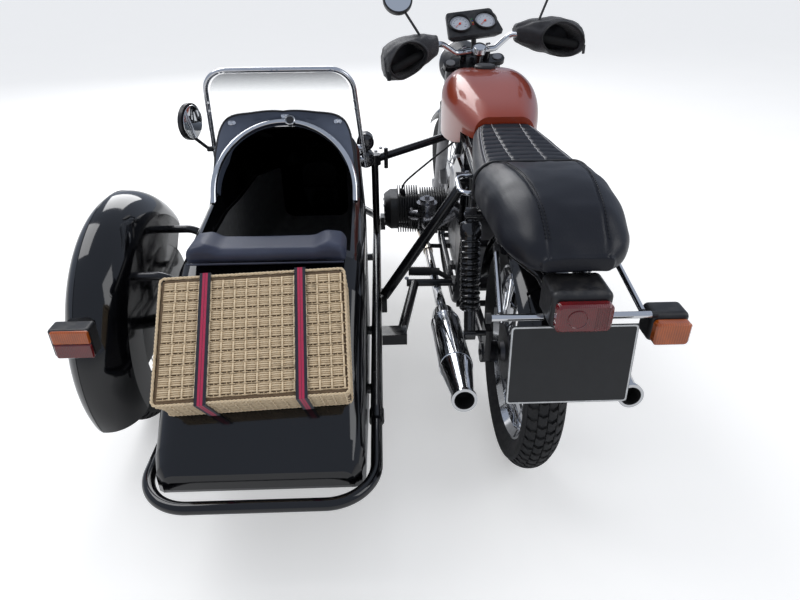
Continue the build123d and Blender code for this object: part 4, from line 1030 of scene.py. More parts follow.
class OUTFIT_OT_tyres(bpy.types.Operator):
    """Mould the three tyres: carcass, wall beads and zigzag tread blocks"""
    bl_idname = "outfit.tyres"
    bl_label = "Tyres"

    def execute(self, context):
        material = look("tyre_rubber")
        count = context.scene.outfit.tread_blocks
        for body, node, radius, rim, half in TYRES:
            shoulder = radius - CROWN_FALL * (radius - rim)
            inner = rim + 0.3
            wall = []
            for i in range(15):
                t = i / 14
                height = inner + (shoulder - inner) * t
                side = 30 + (half - 30) * math.sin(math.pi * min(t * 0.62, 1)) if t < 0.8 else None
                side = side or half - (half - CROWN_SPAN * half) * ((t - 0.8) / 0.2) ** 2
                line = 0.7 if i in (3, 5, 11) else 0
                wall.append((min(side + line, half), height))
            crown = []
            for i in range(1, 24):
                x = CROWN_SPAN * half * (1 - i / 12)
                deep = 6.5 * soft_step(0.84 * half - abs(x), 0, 2.5)
                crown.append((x, radius - crown_drop(radius, rim, half, x) - deep))
            profile = wall + crown + [(-x, r) for x, r in reversed(wall)]
            centre, axis = AXLES[body]
            carcass = bmesh.new()
            rings = []
            turn = Vector((0, 0, 1)).rotation_difference(axis).to_matrix().to_4x4()
            wheel = Matrix.Translation(centre) @ turn
            angles = [math.tau * k / 96 for k in range(96)]
            for x, r in profile + [(-30, inner - 0.2), (30, inner - 0.2)]:
                rings.append([wheel @ (Vector((r * math.cos(angle), r * math.sin(angle), x)) / 1000)
                              for angle in angles])
            made = [[carcass.verts.new(point) for point in ring] for ring in rings]
            for low, high in zip(made, made[1:] + made[:1]):
                join(carcass, low, high)
            piece(f"{node}_carcass", carcass, body, material, node)
            block = bmesh.new()
            arc = math.tau / count
            for start, end, shift in TREAD_ROWS:
                rings = []
                middle = (start + end) / 2
                for lift, inset in ((-8.0, 0.0), (-0.8, 0.0), (-0.1, 0.035)):
                    ring = []
                    for across, along in ((start + inset, 0.06 + inset), (start + inset, 0.74 - inset),
                                          (middle, 0.92 - inset), (end - inset, 0.74 - inset),
                                          (end - inset, 0.06 + inset), (middle, 0.24 + inset)):
                        angle = (along + shift) * arc
                        x = across * half
                        reach = radius - crown_drop(radius, rim, half, x) + lift
                        ring.append(Vector((x, reach * math.cos(angle), reach * math.sin(angle))) / 1000)
                    rings.append(ring)
                stack(block, rings)
            bmesh.ops.recalc_face_normals(block, faces=block.faces)
            around_axle(f"{body}_tread", body, block, count, material)
        return {"FINISHED"}


def hamper_place():
    """The hamper's own directions: X across, Y up the slope, Z out of the lid, origin under its middle."""
    (low_y, low_z), (high_y, high_z) = (-405, 388), (-130, 612)
    slope = math.atan2(high_z - low_z, high_y - low_y)
    out = Vector((0, -math.sin(slope), math.cos(slope)))
    foot = at(-662, -246, high_z + (-246 - high_y) * math.tan(slope)) + out * 0.003
    return facing(foot, out, (0, 1, 0)) @ Matrix.Rotation(math.radians(2.5), 4, "Z")


class OUTFIT_OT_hamper(bpy.types.Operator):
    """Weave the wicker hamper"""
    bl_idname = "outfit.hamper"
    bl_label = "Hamper"

    def execute(self, context):
        pitch = context.scene.outfit.weave_pitch
        row_pitch = context.scene.outfit.weave_rows
        material = cane("pale_cane", (0.46, 0.33, 0.19), (0.84, 0.68, 0.47))
        place = hamper_place()
        half_x, half_y, tall = 205.0, 144.0, 110.0
        cell = bmesh.new()
        tone = cell.faces.layers.float.new("strand")

        def strand(points, width, thick, shade):
            rings = [[Vector((x + a * width[0], y + a * width[1], z + b * thick)) / 1000
                      for a, b in ((-1, -0.7), (-0.55, 0.8), (0.55, 0.8), (1, -0.7))] for x, y, z in points]
            before = set(cell.faces)
            stack(cell, rings)
            for face in set(cell.faces) - before:
                face[tone] = shade

        p, q = pitch / 2, row_pitch / 2
        for drop, shade in ((2.4, 0.55), (7.0, 0.85), (11.6, 0.35), (16.0, 0.7)):
            strand([(-p + 1, q - drop, -1.1), (0, q - drop, 0.5), (p - 1, q - drop, -1.1)], (0, 2.35), 1.4, shade)
        strand([(-p, -q + 1.6, -2.2), (p, -q + 1.6, -2.2)], (0, 1.7), 1.3, 0.25)
        strand([(0.4, -q - 0.5, -1.2), (0.4, -q + 6.0, -1.2)], (1.3, 0), 1.2, 0.45)
        strand([(p, -q, -0.7), (p, 0, 1.5), (p, q, -0.7)], (2.3, 0), 1.5, 1.0)
        strand([(p - 6, -q + 1.6, -0.6), (p, -q + 1.6, 1.1), (p + 6, -q + 1.6, -0.6)], (0, 1.5), 1.2, 0.6)
        bmesh.ops.recalc_face_normals(cell, faces=cell.faces)
        panels = [((0, 0, tall), (0, 0, 1), (1, 0, 0), 2 * half_x, 2 * half_y),
                  ((0, -half_y, tall / 2), (0, -1, 0), (1, 0, 0), 2 * half_x, tall),
                  ((0, half_y, tall / 2), (0, 1, 0), (-1, 0, 0), 2 * half_x, tall),
                  ((-half_x, 0, tall / 2), (-1, 0, 0), (0, -1, 0), 2 * half_y, tall),
                  ((half_x, 0, tall / 2), (1, 0, 0), (0, 1, 0), 2 * half_y, tall)]
        spots, aims, spins = [], [], []
        turn = place.to_3x3()
        for centre, out, side, wide, high in panels:
            out, side = Vector(out), Vector(side)
            rise = out.cross(side)
            across, down = int((wide - 8) // pitch), int((high - 6) // row_pitch)
            for i in range(across):
                for k in range(down):
                    local = (Vector(centre) + side * (i + 0.5 - across / 2) * pitch
                             + rise * (k + 0.5 - down / 2) * row_pitch - out * 3.4)
                    spots.append(place @ (local / 1000))
                    aims.append(turn @ out)
                    spins.append(turn @ side)
        scattered("hamper_weave", "chassis", material, cell, spots, aims, spins, 1.0)
        # A dark box inside the weave, in painted shade, stands for the shade seen through the gaps between the canes
        core = bmesh.new()
        slab(core, half_x - 7, half_y - 7, tall - 7, 8, place @ Matrix.Translation((0, 0, 0.0005)), 2.0)
        piece("hamper_core", core, "chassis", look("painted_shade_cane"), "hamper")
        rim = bmesh.new()
        for height, thick in ((tall - 3.0, 1.8), (tall - 22.0, 1.6), (4.8, 1.8)):
            for turned_by in (0, math.pi):
                edge = [(Vector((x, y)), Vector((nx, ny)))
                        for x, y, nx, ny in even(rounded(half_x - 5.0, half_y - 5.0, 9), 460)]
                twisted = []
                for index, (spot, out) in enumerate(edge):
                    angle = math.tau * 78 * index / 460 + turned_by
                    flat = spot + out * (1.4 * math.cos(angle) + 1.2)
                    twisted.append(place @ (Vector((flat.x, flat.y, height + 1.4 * math.sin(angle))) / 1000))
                bead(rim, twisted, thick, 6)
        tone = rim.faces.layers.float.new("strand")
        for face in rim.faces:
            face[tone] = 0.75
        piece("hamper_rims", rim, "chassis", material)
        return {"FINISHED"}


# Seat rows: y, middle x, half width, low and high z, top and low corner radius, in millimetres
PAD_ROWS = ((452, 0, 90, 794, 850, 34, 20), (400, 0, 104, 788, 844, 30, 20), (220, 0, 128, 764, 838, 34, 24),
            (60, 0, 144, 749, 842, 44, 26))
HUMP_ROWS = ((60, 0, 148, 747, 850, 54, 28), (-30, 0, 148, 747, 874, 80, 30), (-150, 0, 144, 747, 884, 92, 34),
             (-260, 0, 132, 747, 862, 80, 34), (-330, 0, 104, 749, 818, 40, 30), (-362, 0, 66, 758, 786, 13, 12))


class OUTFIT_OT_seat(bpy.types.Operator):
    """Upholster the seat: quilted pad, tail hump, piping and stitches"""
    bl_idname = "outfit.seat"
    bl_label = "Seat"

    def execute(self, context):
        pitch = context.scene.outfit.seat_rib_pitch
        material = look("black_hide")
        thread = plain("seat_thread", (0.50, 0.50, 0.53), 0.6)
        dark_thread = plain("dark_thread", (0.004, 0.004, 0.006), 0.5)

        def quilt(x, y, z, up):
            half = between(PAD_ROWS, y)[2]
            up = max(up, 0)
            outer = 0.80 * half
            inside = soft_step(outer - abs(x), 0, 5) * soft_step(436 - y, 0, 14)
            rib = abs(math.sin(math.pi * (y - 46 + 0.0016 * x * x) / pitch)) ** 0.55
            lines = 3.4 * dent(abs(x) - 43, 3.4) + 4.0 * dent(abs(x) - outer, 3.8)
            crown = 3.0 * (1 - (x / half) ** 2)
            crease = noise.noise(Vector((x / 40, y / 90, z / 30))) * 1.4
            return up * (crown - lines - 5.0 * inside * (1 - rib)) + crease - 0.5

        def seam_x(y):
            return 58 + 28 * soft_step(y, -360, 40)

        def swell(x, y, z, up):
            up = max(up, 0)
            wrinkle = noise.noise(Vector((x / 55, y / 60, z / 34))) * 2.2
            gather = math.sin(x * 0.22) * 0.5 * dent(y - 50, 22)
            return up * (1.5 - 2.4 * dent(abs(x) - seam_x(y), 2.6)) + wrinkle + gather - 1.5

        pad = bmesh.new()
        skinned(pad, PAD_ROWS, [58 + 3.0 * i for i in range(129)], quilt, 210, (0, 8))
        piece("seat_pad", pad, "chassis", material, "seat", crease=60)
        hump = bmesh.new()
        skinned(hump, HUMP_ROWS, [-356 + 4.0 * i for i in range(102)], swell, 190, (6, 10))
        piece("seat_hump", hump, "chassis", material, crease=60)
        welt = bmesh.new()
        ring = section_ring(*between(HUMP_ROWS, 58)[1:], 160)
        arc = [at(x + nx * 0.5, 61, z + nz * 0.5) for x, z, nx, nz in ring[8:153]]
        hose(welt, arc, 4.2, 10)
        piece("seat_welt", welt, "chassis", look("moulded_black"))
        rows = []
        for side in (-1, 1):
            rows.append([(side * 43, y, PAD_ROWS, quilt) for y in range(66, 440, 6)])
            rows.append([(side * 0.80 * between(PAD_ROWS, y)[2], y, PAD_ROWS, quilt) for y in range(66, 440, 6)])
        for offset in (-3.4, 3.4):
            rows.append([(offset - seam_x(y), y, HUMP_ROWS, swell) for y in range(-330, 46, 6)])
        rows.append([(seam_x(y) + 4, y, HUMP_ROWS, swell) for y in range(-330, 46, 6)])
        for number, row in enumerate(rows):
            line = [at(x, y, crown_at(table, x, y) + push(x, y, 840, 0.92) + 1.9) for x, y, table, push in row]
            stitches(f"seat_stitches_{number}", "chassis", dark_thread if number > 3 else thread, line, 9.0, 6.2, 1.0)
        return {"FINISHED"}


# How far the face board's edge lies from the hoop's centre: degrees from the top, then millimetres
BOARD_EDGE = ((0, 239), (20.9, 252.6), (33.3, 271), (39.7, 272), (46.5, 260), (56.7, 237), (73.5, 212), (92, 205))
# Above this rise the board bends forward, to its lip along the screen
BOARD_BEND = 210
LIP_OUT = Vector((0, -0.959, 0.284))
# The footwell below the cockpit: y, half width, floor, edge height and corner, in millimetres
FOOTWELL_ROWS = ((70, 221, 273, 560, 50), (290, 219, 273, 580, 50), (400, 205, 273, 600, 50),
                 (560, 199, 275, 600, 50), (800, 182, 287, 590, 50), (1046, 137, 320, 540, 40))


def board_point(x, rise, lift=0.0):
    """A place on the scuttle's face board: across and up from the hoop's centre, lifted off the board."""
    low = min(rise, BOARD_BEND)
    over = rise - low
    return at(BODY_X + x, 286 + 0.548 * low - 0.284 * over - 0.837 * lift,
              703.4 + 0.837 * low + 0.959 * over + 0.548 * lift)


def trough(y, half, foot, high, corner):
    """The footwell's inner skin at one place, 2 mm thick: up to its edge on both sides, then back inside."""
    side = foot + 120

    def from_left(spot):
        x, z = spot[0] - BODY_X, spot[1]
        if z < side:
            return math.atan2(x, side - z)
        return math.copysign(math.pi / 2 + (z - side) / 1000, x)

    ring = section_ring(BODY_X, half, foot, high + 60, 20, corner, 90)
    rim_to_rim = sorted((spot for spot in ring if spot[1] < high), key=from_left)
    line = even_open([Vector((x, y, z)) for x, z, _, _ in rim_to_rim], 60)
    inside = [Vector((p.x + (-2 if p.x > BODY_X else 2) * min(abs(p.x - BODY_X) / half, 1), p.y,
                      p.z + (2 if p.z < foot + 40 else 0))) for p in line]
    return [at(*p) for p in line + inside[::-1]]


class OUTFIT_OT_cockpit(bpy.types.Operator):
    """Upholster the sidecar: roll, back, cushion, scuttle face with its turn buttons, lining and hoop boss"""
    bl_idname = "outfit.cockpit"
    bl_label = "Cockpit"

    def execute(self, context):
        blue = look("blue_hide")
        moulded, shine = look("moulded_black"), look("chrome")
        roll = bmesh.new()
        rings = []
        for i in range(66):
            x = -853 + 386 * i / 65
            away = abs(x - BODY_X)
            horn = soft_step(away, 104, 150) - 0.7 * soft_step(away, 178, 193)
            high = 690 + 13 * horn
            end = 9 * soft_step(away, 184, 193)
            depth = 54 - end
            outline = rounded(depth, (high - 660) / 2 - end / 2, 14, 5)
            rings.append([at(x, -45 + u + 3 * horn, (high + 660) / 2 + v) for u, v in outline])
        stack(roll, rings)
        puffed("roll_pad", roll, "chassis", blue, 5, 0.7, "sidecar_backrest")
        seams = bmesh.new()
        for y, z in ((-101, 664), (-99, 662)):
            hose(seams, [at(BODY_X + x, y, z) for x in range(-186, 187, 6)], 2.0, 8)
        piece("roll_piping", seams, "chassis", blue)
        for name, middle, half, corner, cap in (("back_pad", (BODY_X, 24, 542), (180, 31, 140), 18, 12),
                                                ("cushion_pad", (BODY_X, 230, 316), (180, 162, 42), 22, 12)):
            pad = bmesh.new()
            rings = []
            for z, cut in ((-half[2], 0.05), (-half[2] + 8, 0), (half[2] - 8, 0), (half[2], 0.05)):
                wide, deep = 1 - cut, 1 - cut * half[0] / half[1] * 0.4
                rings.append([at(middle[0] + x * wide, middle[1] + y * deep, middle[2] + z)
                              for x, y in rounded(half[0], half[1], corner, 5)])
            stack(pad, rings)
            puffed(name, pad, "chassis", blue, cap, 0.7, *(["sidecar_cushion"] if name == "cushion_pad" else []))
        trim = bmesh.new()
        inner, outer, deep = [], [], []
        for step in range(81):
            turn = -90 + 2.25 * step
            angle = math.radians(turn)
            reach = between(BOARD_EDGE, abs(turn))[1]
            inner.append((196 * math.sin(angle), 196 * math.cos(angle)))
            outer.append((reach * math.sin(angle), reach * math.cos(angle)))
            deep.append(-4 - 34 * soft_step(abs(turn), 48, 62))
        rings = []
        for (x0, r0), (x1, r1), depth in zip(inner, outer, deep):
            front = [board_point(x0 + (x1 - x0) * t, r0 + (r1 - r0) * t, 2.2 * math.sin(math.pi * t) ** 0.5)
                     for t in (0, 0.1, 0.25, 0.5, 0.75, 0.9, 1)]
            back = [board_point(x0 + (x1 - x0) * t, r0 + (r1 - r0) * t, depth) for t in (1, 0.5, 0)]
            rings.append(front + back)
        stack(trim, rings)
        piece("scuttle_board", trim, "chassis", hide("board_hide", (0.080, 0.097, 0.140), 0.42))
        edge = bmesh.new()
        hose(edge, [board_point(x, r, -0.5) for x, r in outer], 3.0, 8)
        piece("scuttle_edge", edge, "chassis", moulded)
        buttons = bmesh.new()
        for x, rise in ((-152, 204), (156, 204), (4, 224)):
            place = facing(board_point(x, rise, 2.0), HOOP_OUT if rise < BOARD_BEND else LIP_OUT)
            slab(buttons, 12, 6.5, 2.2, 6.3, place, 0.7)
            lathe(buttons, [(1.5, 0), (1.5, 4.6), (4.5, 4.2), (5.0, 3.4), (5.0, 0)], place, 20)
            slab(buttons, 1.4, 6.2, 6.5, 1.2, place @ Matrix.Rotation(0.5, 4, "Z"), 0.5)
        piece("scuttle_buttons", buttons, "chassis", shine)
        lining = bmesh.new()
        stack(lining, [trough(*row) for row in FOOTWELL_ROWS])
        piece("footwell_lining", lining, "chassis", plain("lining_felt", (0.115, 0.118, 0.122), 0.9))
        boss_rise = 202
        centre = at(-640, 276 + 0.548 * boss_rise, 710 + 0.837 * boss_rise) + HOOP_OUT * 0.004
        place = facing(centre, HOOP_OUT, HOOP_UP)
        turned("hoop_boss", [(-6, 0), (-6, 13), (2, 16), (7, 16.4), (10, 15), (11.5, 12.5), (9.5, 11.5), (9.0, 0)],
               place, 40, "chassis", shine)
        turned("boss_middle", [(9.2, 0), (9.2, 11.2), (10.2, 10.6), (10.6, 6), (10.8, 0)], place, 32,
               "chassis", moulded)
        lean = Vector((0, -90, 304)).normalized()
        back = Vector((1, 0, 0)).cross(lean)
        back = back if back.y < 0 else -back
        places = []
        for x, rise in ((-158, 293), (-146, 295), (-14, 296), (0, 296), (146, 295), (158, 293),
                        (-207, 205), (-209, 180), (207, 205), (209, 180), (-222, 60), (222, 60)):
            places.append(at(BODY_X + x, 448, 742) + lean * rise / 1000 + back * 0.0075)
        bolts("screen_screws", "chassis", shine, places, [back] * len(places), 5.0, 3.0)
        return {"FINISHED"}


# Muff rows: distance from the bar's middle, then back and up from it, half depth and half height
MUFF_ROWS = ((150, -14, 46, 32, 32), (205, -44, 38, 62, 54), (262, -56, 30, 80, 66), (330, -72, 18, 88, 70),
             (384, -98, 8, 60, 50))


class OUTFIT_OT_muffs(bpy.types.Operator):
    """Sew the two bar muffs with their open mouths"""
    bl_idname = "outfit.muffs"
    bl_label = "Muffs"

    def execute(self, context):
        material = look("muff_cloth")
        bar = fork_line(*BAR) - CONTACT
        bar_y, bar_z = bar.y * 1000, bar.z * 1000
        mouth_x, mouth_reach, power = 294, 72, 0.4
        # The grips' near-black is partly the rubber's own colour and partly painted shade inside the muffs' mouths
        grip_painted_shade = plain("grip_painted_shade", (0.003, 0.003, 0.003), 0.85)
        for side, name, seed in ((-1, "left_muff", 3.0), (1, "right_muff", 8.0)):
            shell = bmesh.new()
            rings = []
            for i in range(84):
                x = 153 + 228 * i / 83
                back, up, half_y, half_z = between(MUFF_ROWS, x)[1:]
                close = 1 - 0.30 * soft_step(x, 366, 381) - 0.18 * (1 - soft_step(x, 150, 160))
                half_y, half_z = half_y * close - 2, half_z * close - 2
                ring = []
                for k in range(150):
                    angle = math.tau * k / 150
                    c, s = math.cos(angle), math.sin(angle)
                    y = half_y * math.copysign(abs(c) ** 0.8, c)
                    z = half_z * math.copysign(abs(s) ** 0.8, s)
                    fold = (noise.noise(Vector((x / 26, s * 1.6 + seed, c * 1.6))) * 5.0
                            + noise.noise(Vector((x / 60 + seed, s * 2.6, c * 2.6))) * 6.0
                            + math.sin(angle * 9 + x / 18 + seed) * 1.6 * soft_step(x, 210, 160)
                            + math.sin(angle * 5 + seed) * 2.4 * soft_step(x, 300, 384))
                    y += fold * c * 0.7 - 1.5 * c
                    z += fold * s * 0.7 - 1.5 * s - (3.0 if s < 0 else 0) * soft_step(x, 240, 330)
                    if c < 0:
                        reach = math.hypot((x - mouth_x) / mouth_reach, (z + 6) / (0.84 * half_z))
                        y += 100 * (1 - soft_step(reach, 0.80, 0.98)) - 5 * dent(reach - 1.07, 0.07)
                        y = min(y, half_y * abs(c) ** 0.8 - 8) if reach < 1 else y
                    ring.append(TURN @ at(side * x, bar_y + back + y, bar_z + up + z))
                rings.append(ring)
            stack(shell, rings)
            piece(name, shell, "steering", material, *(["bar_muffs"] if side < 0 else []), crease=50)
            hem = bmesh.new()
            loop = []
            for k in range(96):
                angle = math.tau * k / 96
                x = mouth_x + mouth_reach * 1.03 * math.cos(angle)
                back, up, half_y, half_z = between(MUFF_ROWS, x)[1:]
                z = 0.84 * half_z * 1.03 * math.sin(angle) - 6
                y = -half_y * (1 - min(abs(z / half_z), 0.99) ** 2.5) ** power - 4
                loop.append(TURN @ at(side * x, bar_y + back + y, bar_z + up + z))
            bead(hem, loop, 2.6, 8)
            # The grip covers the bar's last straight, which runs back and down over 147 mm; it is black rubber,
            # darkened further as painted shade so that it reads as the dark inside of the mouth
            grip, line = bmesh.new(), []
            for x in range(206, 360, 4):
                part = (x - 205) / 147
                line.append(TURN @ at(side * x, bar_y - 72 - 56 * part, bar_z + 34 - 40 * part))
            hose(grip, line, lambda t: 15.5 - 2.5 * soft_step(t, 0.96, 1), 14)
            piece(f"{name}_grip", grip, "steering", grip_painted_shade)
            tab = facing(TURN @ at(side * 372, bar_y - 150, bar_z - 22), SPIN @ Vector((side * 0.35, -1, 0)))
            slab(hem, 7, 16, 2.5, 3, tab, 0.8)
            piece(f"{name}_hem", hem, "steering", look("soft_rubber"))
        return {"FINISHED"}


# Where a dial's numbers start and how far they run clockwise, in degrees
DIAL_START, DIAL_SWEEP = 225, 270


class OUTFIT_OT_instruments(bpy.types.Operator):
    """Set the two dials, their numbers and the warning lights in the binnacle"""
    bl_idname = "outfit.instruments"
    bl_label = "Instruments"

    def execute(self, context):
        lean = math.radians(52)
        place = TURN @ facing(fork_line(0, 107, 1160), (0, -math.cos(lean), math.sin(lean)), (0, 1, 1))
        moulded = look("moulded_black")
        ink = plain("dial_ink", (0.02, 0.02, 0.025), 0.5)
        shell = bmesh.new()
        rings = []
        for z, grow in ((-46, -18), (-42, -12), (-20, 0), (-7, 0), (-5, -2)):
            rings.append([place @ (Vector((x * (1.06 - 0.0016 * y), y + 2, z)) / 1000)
                          for x, y in rounded(94 + grow, 62 + grow, 12, 8)])
        stack(shell, rings)
        for x in (-50, 50):
            spot = place @ Matrix.Translation((x / 1000, 0, 0))
            lathe(shell, [(-44, 0), (-44, 32), (-24, 43.5), (5, 45), (6.6, 44.2), (6.6, 42.4), (5.2, 40), (-5, 38.6),
                          (-5, 0)], spot, 64)
        hose(shell, [on_fork(0, 64, 1047), on_fork(0, 66, 1090), on_fork(0, 84, 1130)], 10, 12)
        piece("binnacle_shell", shell, "steering", moulded, "instrument_binnacle")
        cards, marks, needles = bmesh.new(), bmesh.new(), bmesh.new()
        for x, numbers, top in ((-50, range(0, 10), 0.62), (50, range(0, 9), 0.44)):
            spot = place @ Matrix.Translation((x / 1000, 0, 0))
            lathe(cards, [(-4.9, 0), (-4.9, 37.8), (-4.1, 37.4), (-4.1, 0)], spot, 56)
            words = [str(20 * n) if x < 0 else str(n) for n in numbers]
            for index, word in enumerate(words):
                angle = math.radians(DIAL_START - DIAL_SWEEP * index / (len(words) - 1))
                lettering(marks, word, 6.2, spot @ Matrix.Translation(
                    (0.0235 * math.cos(angle), 0.0235 * math.sin(angle), -0.0039)))
            angle = math.radians(DIAL_START - DIAL_SWEEP * top * 0.05)
            turn = spot @ Matrix.Rotation(angle - math.pi / 2, 4, "Z") @ Matrix.Translation((0, 0.010, -0.0022))
            slab(needles, 0.9, 17, 1.0, 0.8, turn, 0.3)
            lathe(needles, [(-3.8, 0), (-3.8, 4.6), (-0.6, 4.2), (-0.2, 3.4), (-0.2, 0)], spot, 24)
        piece("dial_cards", cards, "steering", simple("dial_print"))
        piece("dial_numbers", marks, "steering", ink)
        piece("dial_needles", needles, "steering", plain("needle_red", (0.55, 0.05, 0.02), 0.4))
        tick = bmesh.new()
        slab(tick, 0.45, 2.4, 0.4, 0.3, Matrix.Identity(4), 0.1)
        spots, aims, spins = [], [], []
        turn = place.to_3x3()
        for x in (-50, 50):
            for index in range(37):
                angle = math.radians(DIAL_START - DIAL_SWEEP * index / 36)
                spots.append(place @ (Vector((x + 33 * math.cos(angle), 33 * math.sin(angle), -4.1)) / 1000))
                aims.append(turn @ Vector((0, 0, 1)))
                spins.append(turn @ Vector((-math.sin(angle), math.cos(angle), 0)))
        scattered("dial_ticks", "steering", ink, tick, spots, aims, spins)
        for index, (name, color) in enumerate((("green", (0.02, 0.22, 0.06)), ("blue", (0.03, 0.08, 0.35)),
                                               ("amber", (0.55, 0.22, 0.02)), ("red", (0.40, 0.02, 0.02)))):
            light = bmesh.new()
            slab(light, 4.2, 2.6, 2.6, 1.2, place @ Matrix.Translation((0, 0.016 - 0.0085 * index, -0.0062)), 0.5)
            piece(f"warning_{name}", light, "steering", plain(f"warning_{name}", color, 0.2, coat=0.8))
        glass = mirror_glass()
        for side, name in ((-1, "left"), (1, "right")):
            bar = fork_line(*BAR)
            foot = Vector((205 * side, bar.y * 1000 - CONTACT.y * 1000 - 72, bar.z * 1000 + 45))
            head = foot + Vector((92 * side, 24, 165))
            out = SPIN @ Vector((0, -9, 6)).normalized()
            spot = facing(TURN @ at(*head), out)
            turned(f"{name}_mirror_glass", [(9.8, 0), (9.8, 47), (11.4, 46.4), (12.0, 40), (12.4, 0)], spot, 48,
                   "steering", glass)
            turned(f"{name}_mirror_shell", [(-13.5, 0), (-13.0, 30), (-10.4, 50), (-4, 52.6), (10.5, 52.6),
                                            (12.4, 50.5), (12.2, 47.4), (9, 47), (9, 0)], spot, 48, "steering", moulded)
        side_out = Vector((0.95, -0.3, 0)).normalized()
        turned("side_mirror_glass", [(9.9, 0), (9.9, 46.6), (11.2, 46), (11.8, 40), (12.0, 0)],
               facing(at(-933, 400, 880), side_out), 48, "chassis", glass)
        return {"FINISHED"}


# The shocks' lower and upper eyes: y and z in millimetres
SHOCK_EYES = ((-30, 405), (65, 712))


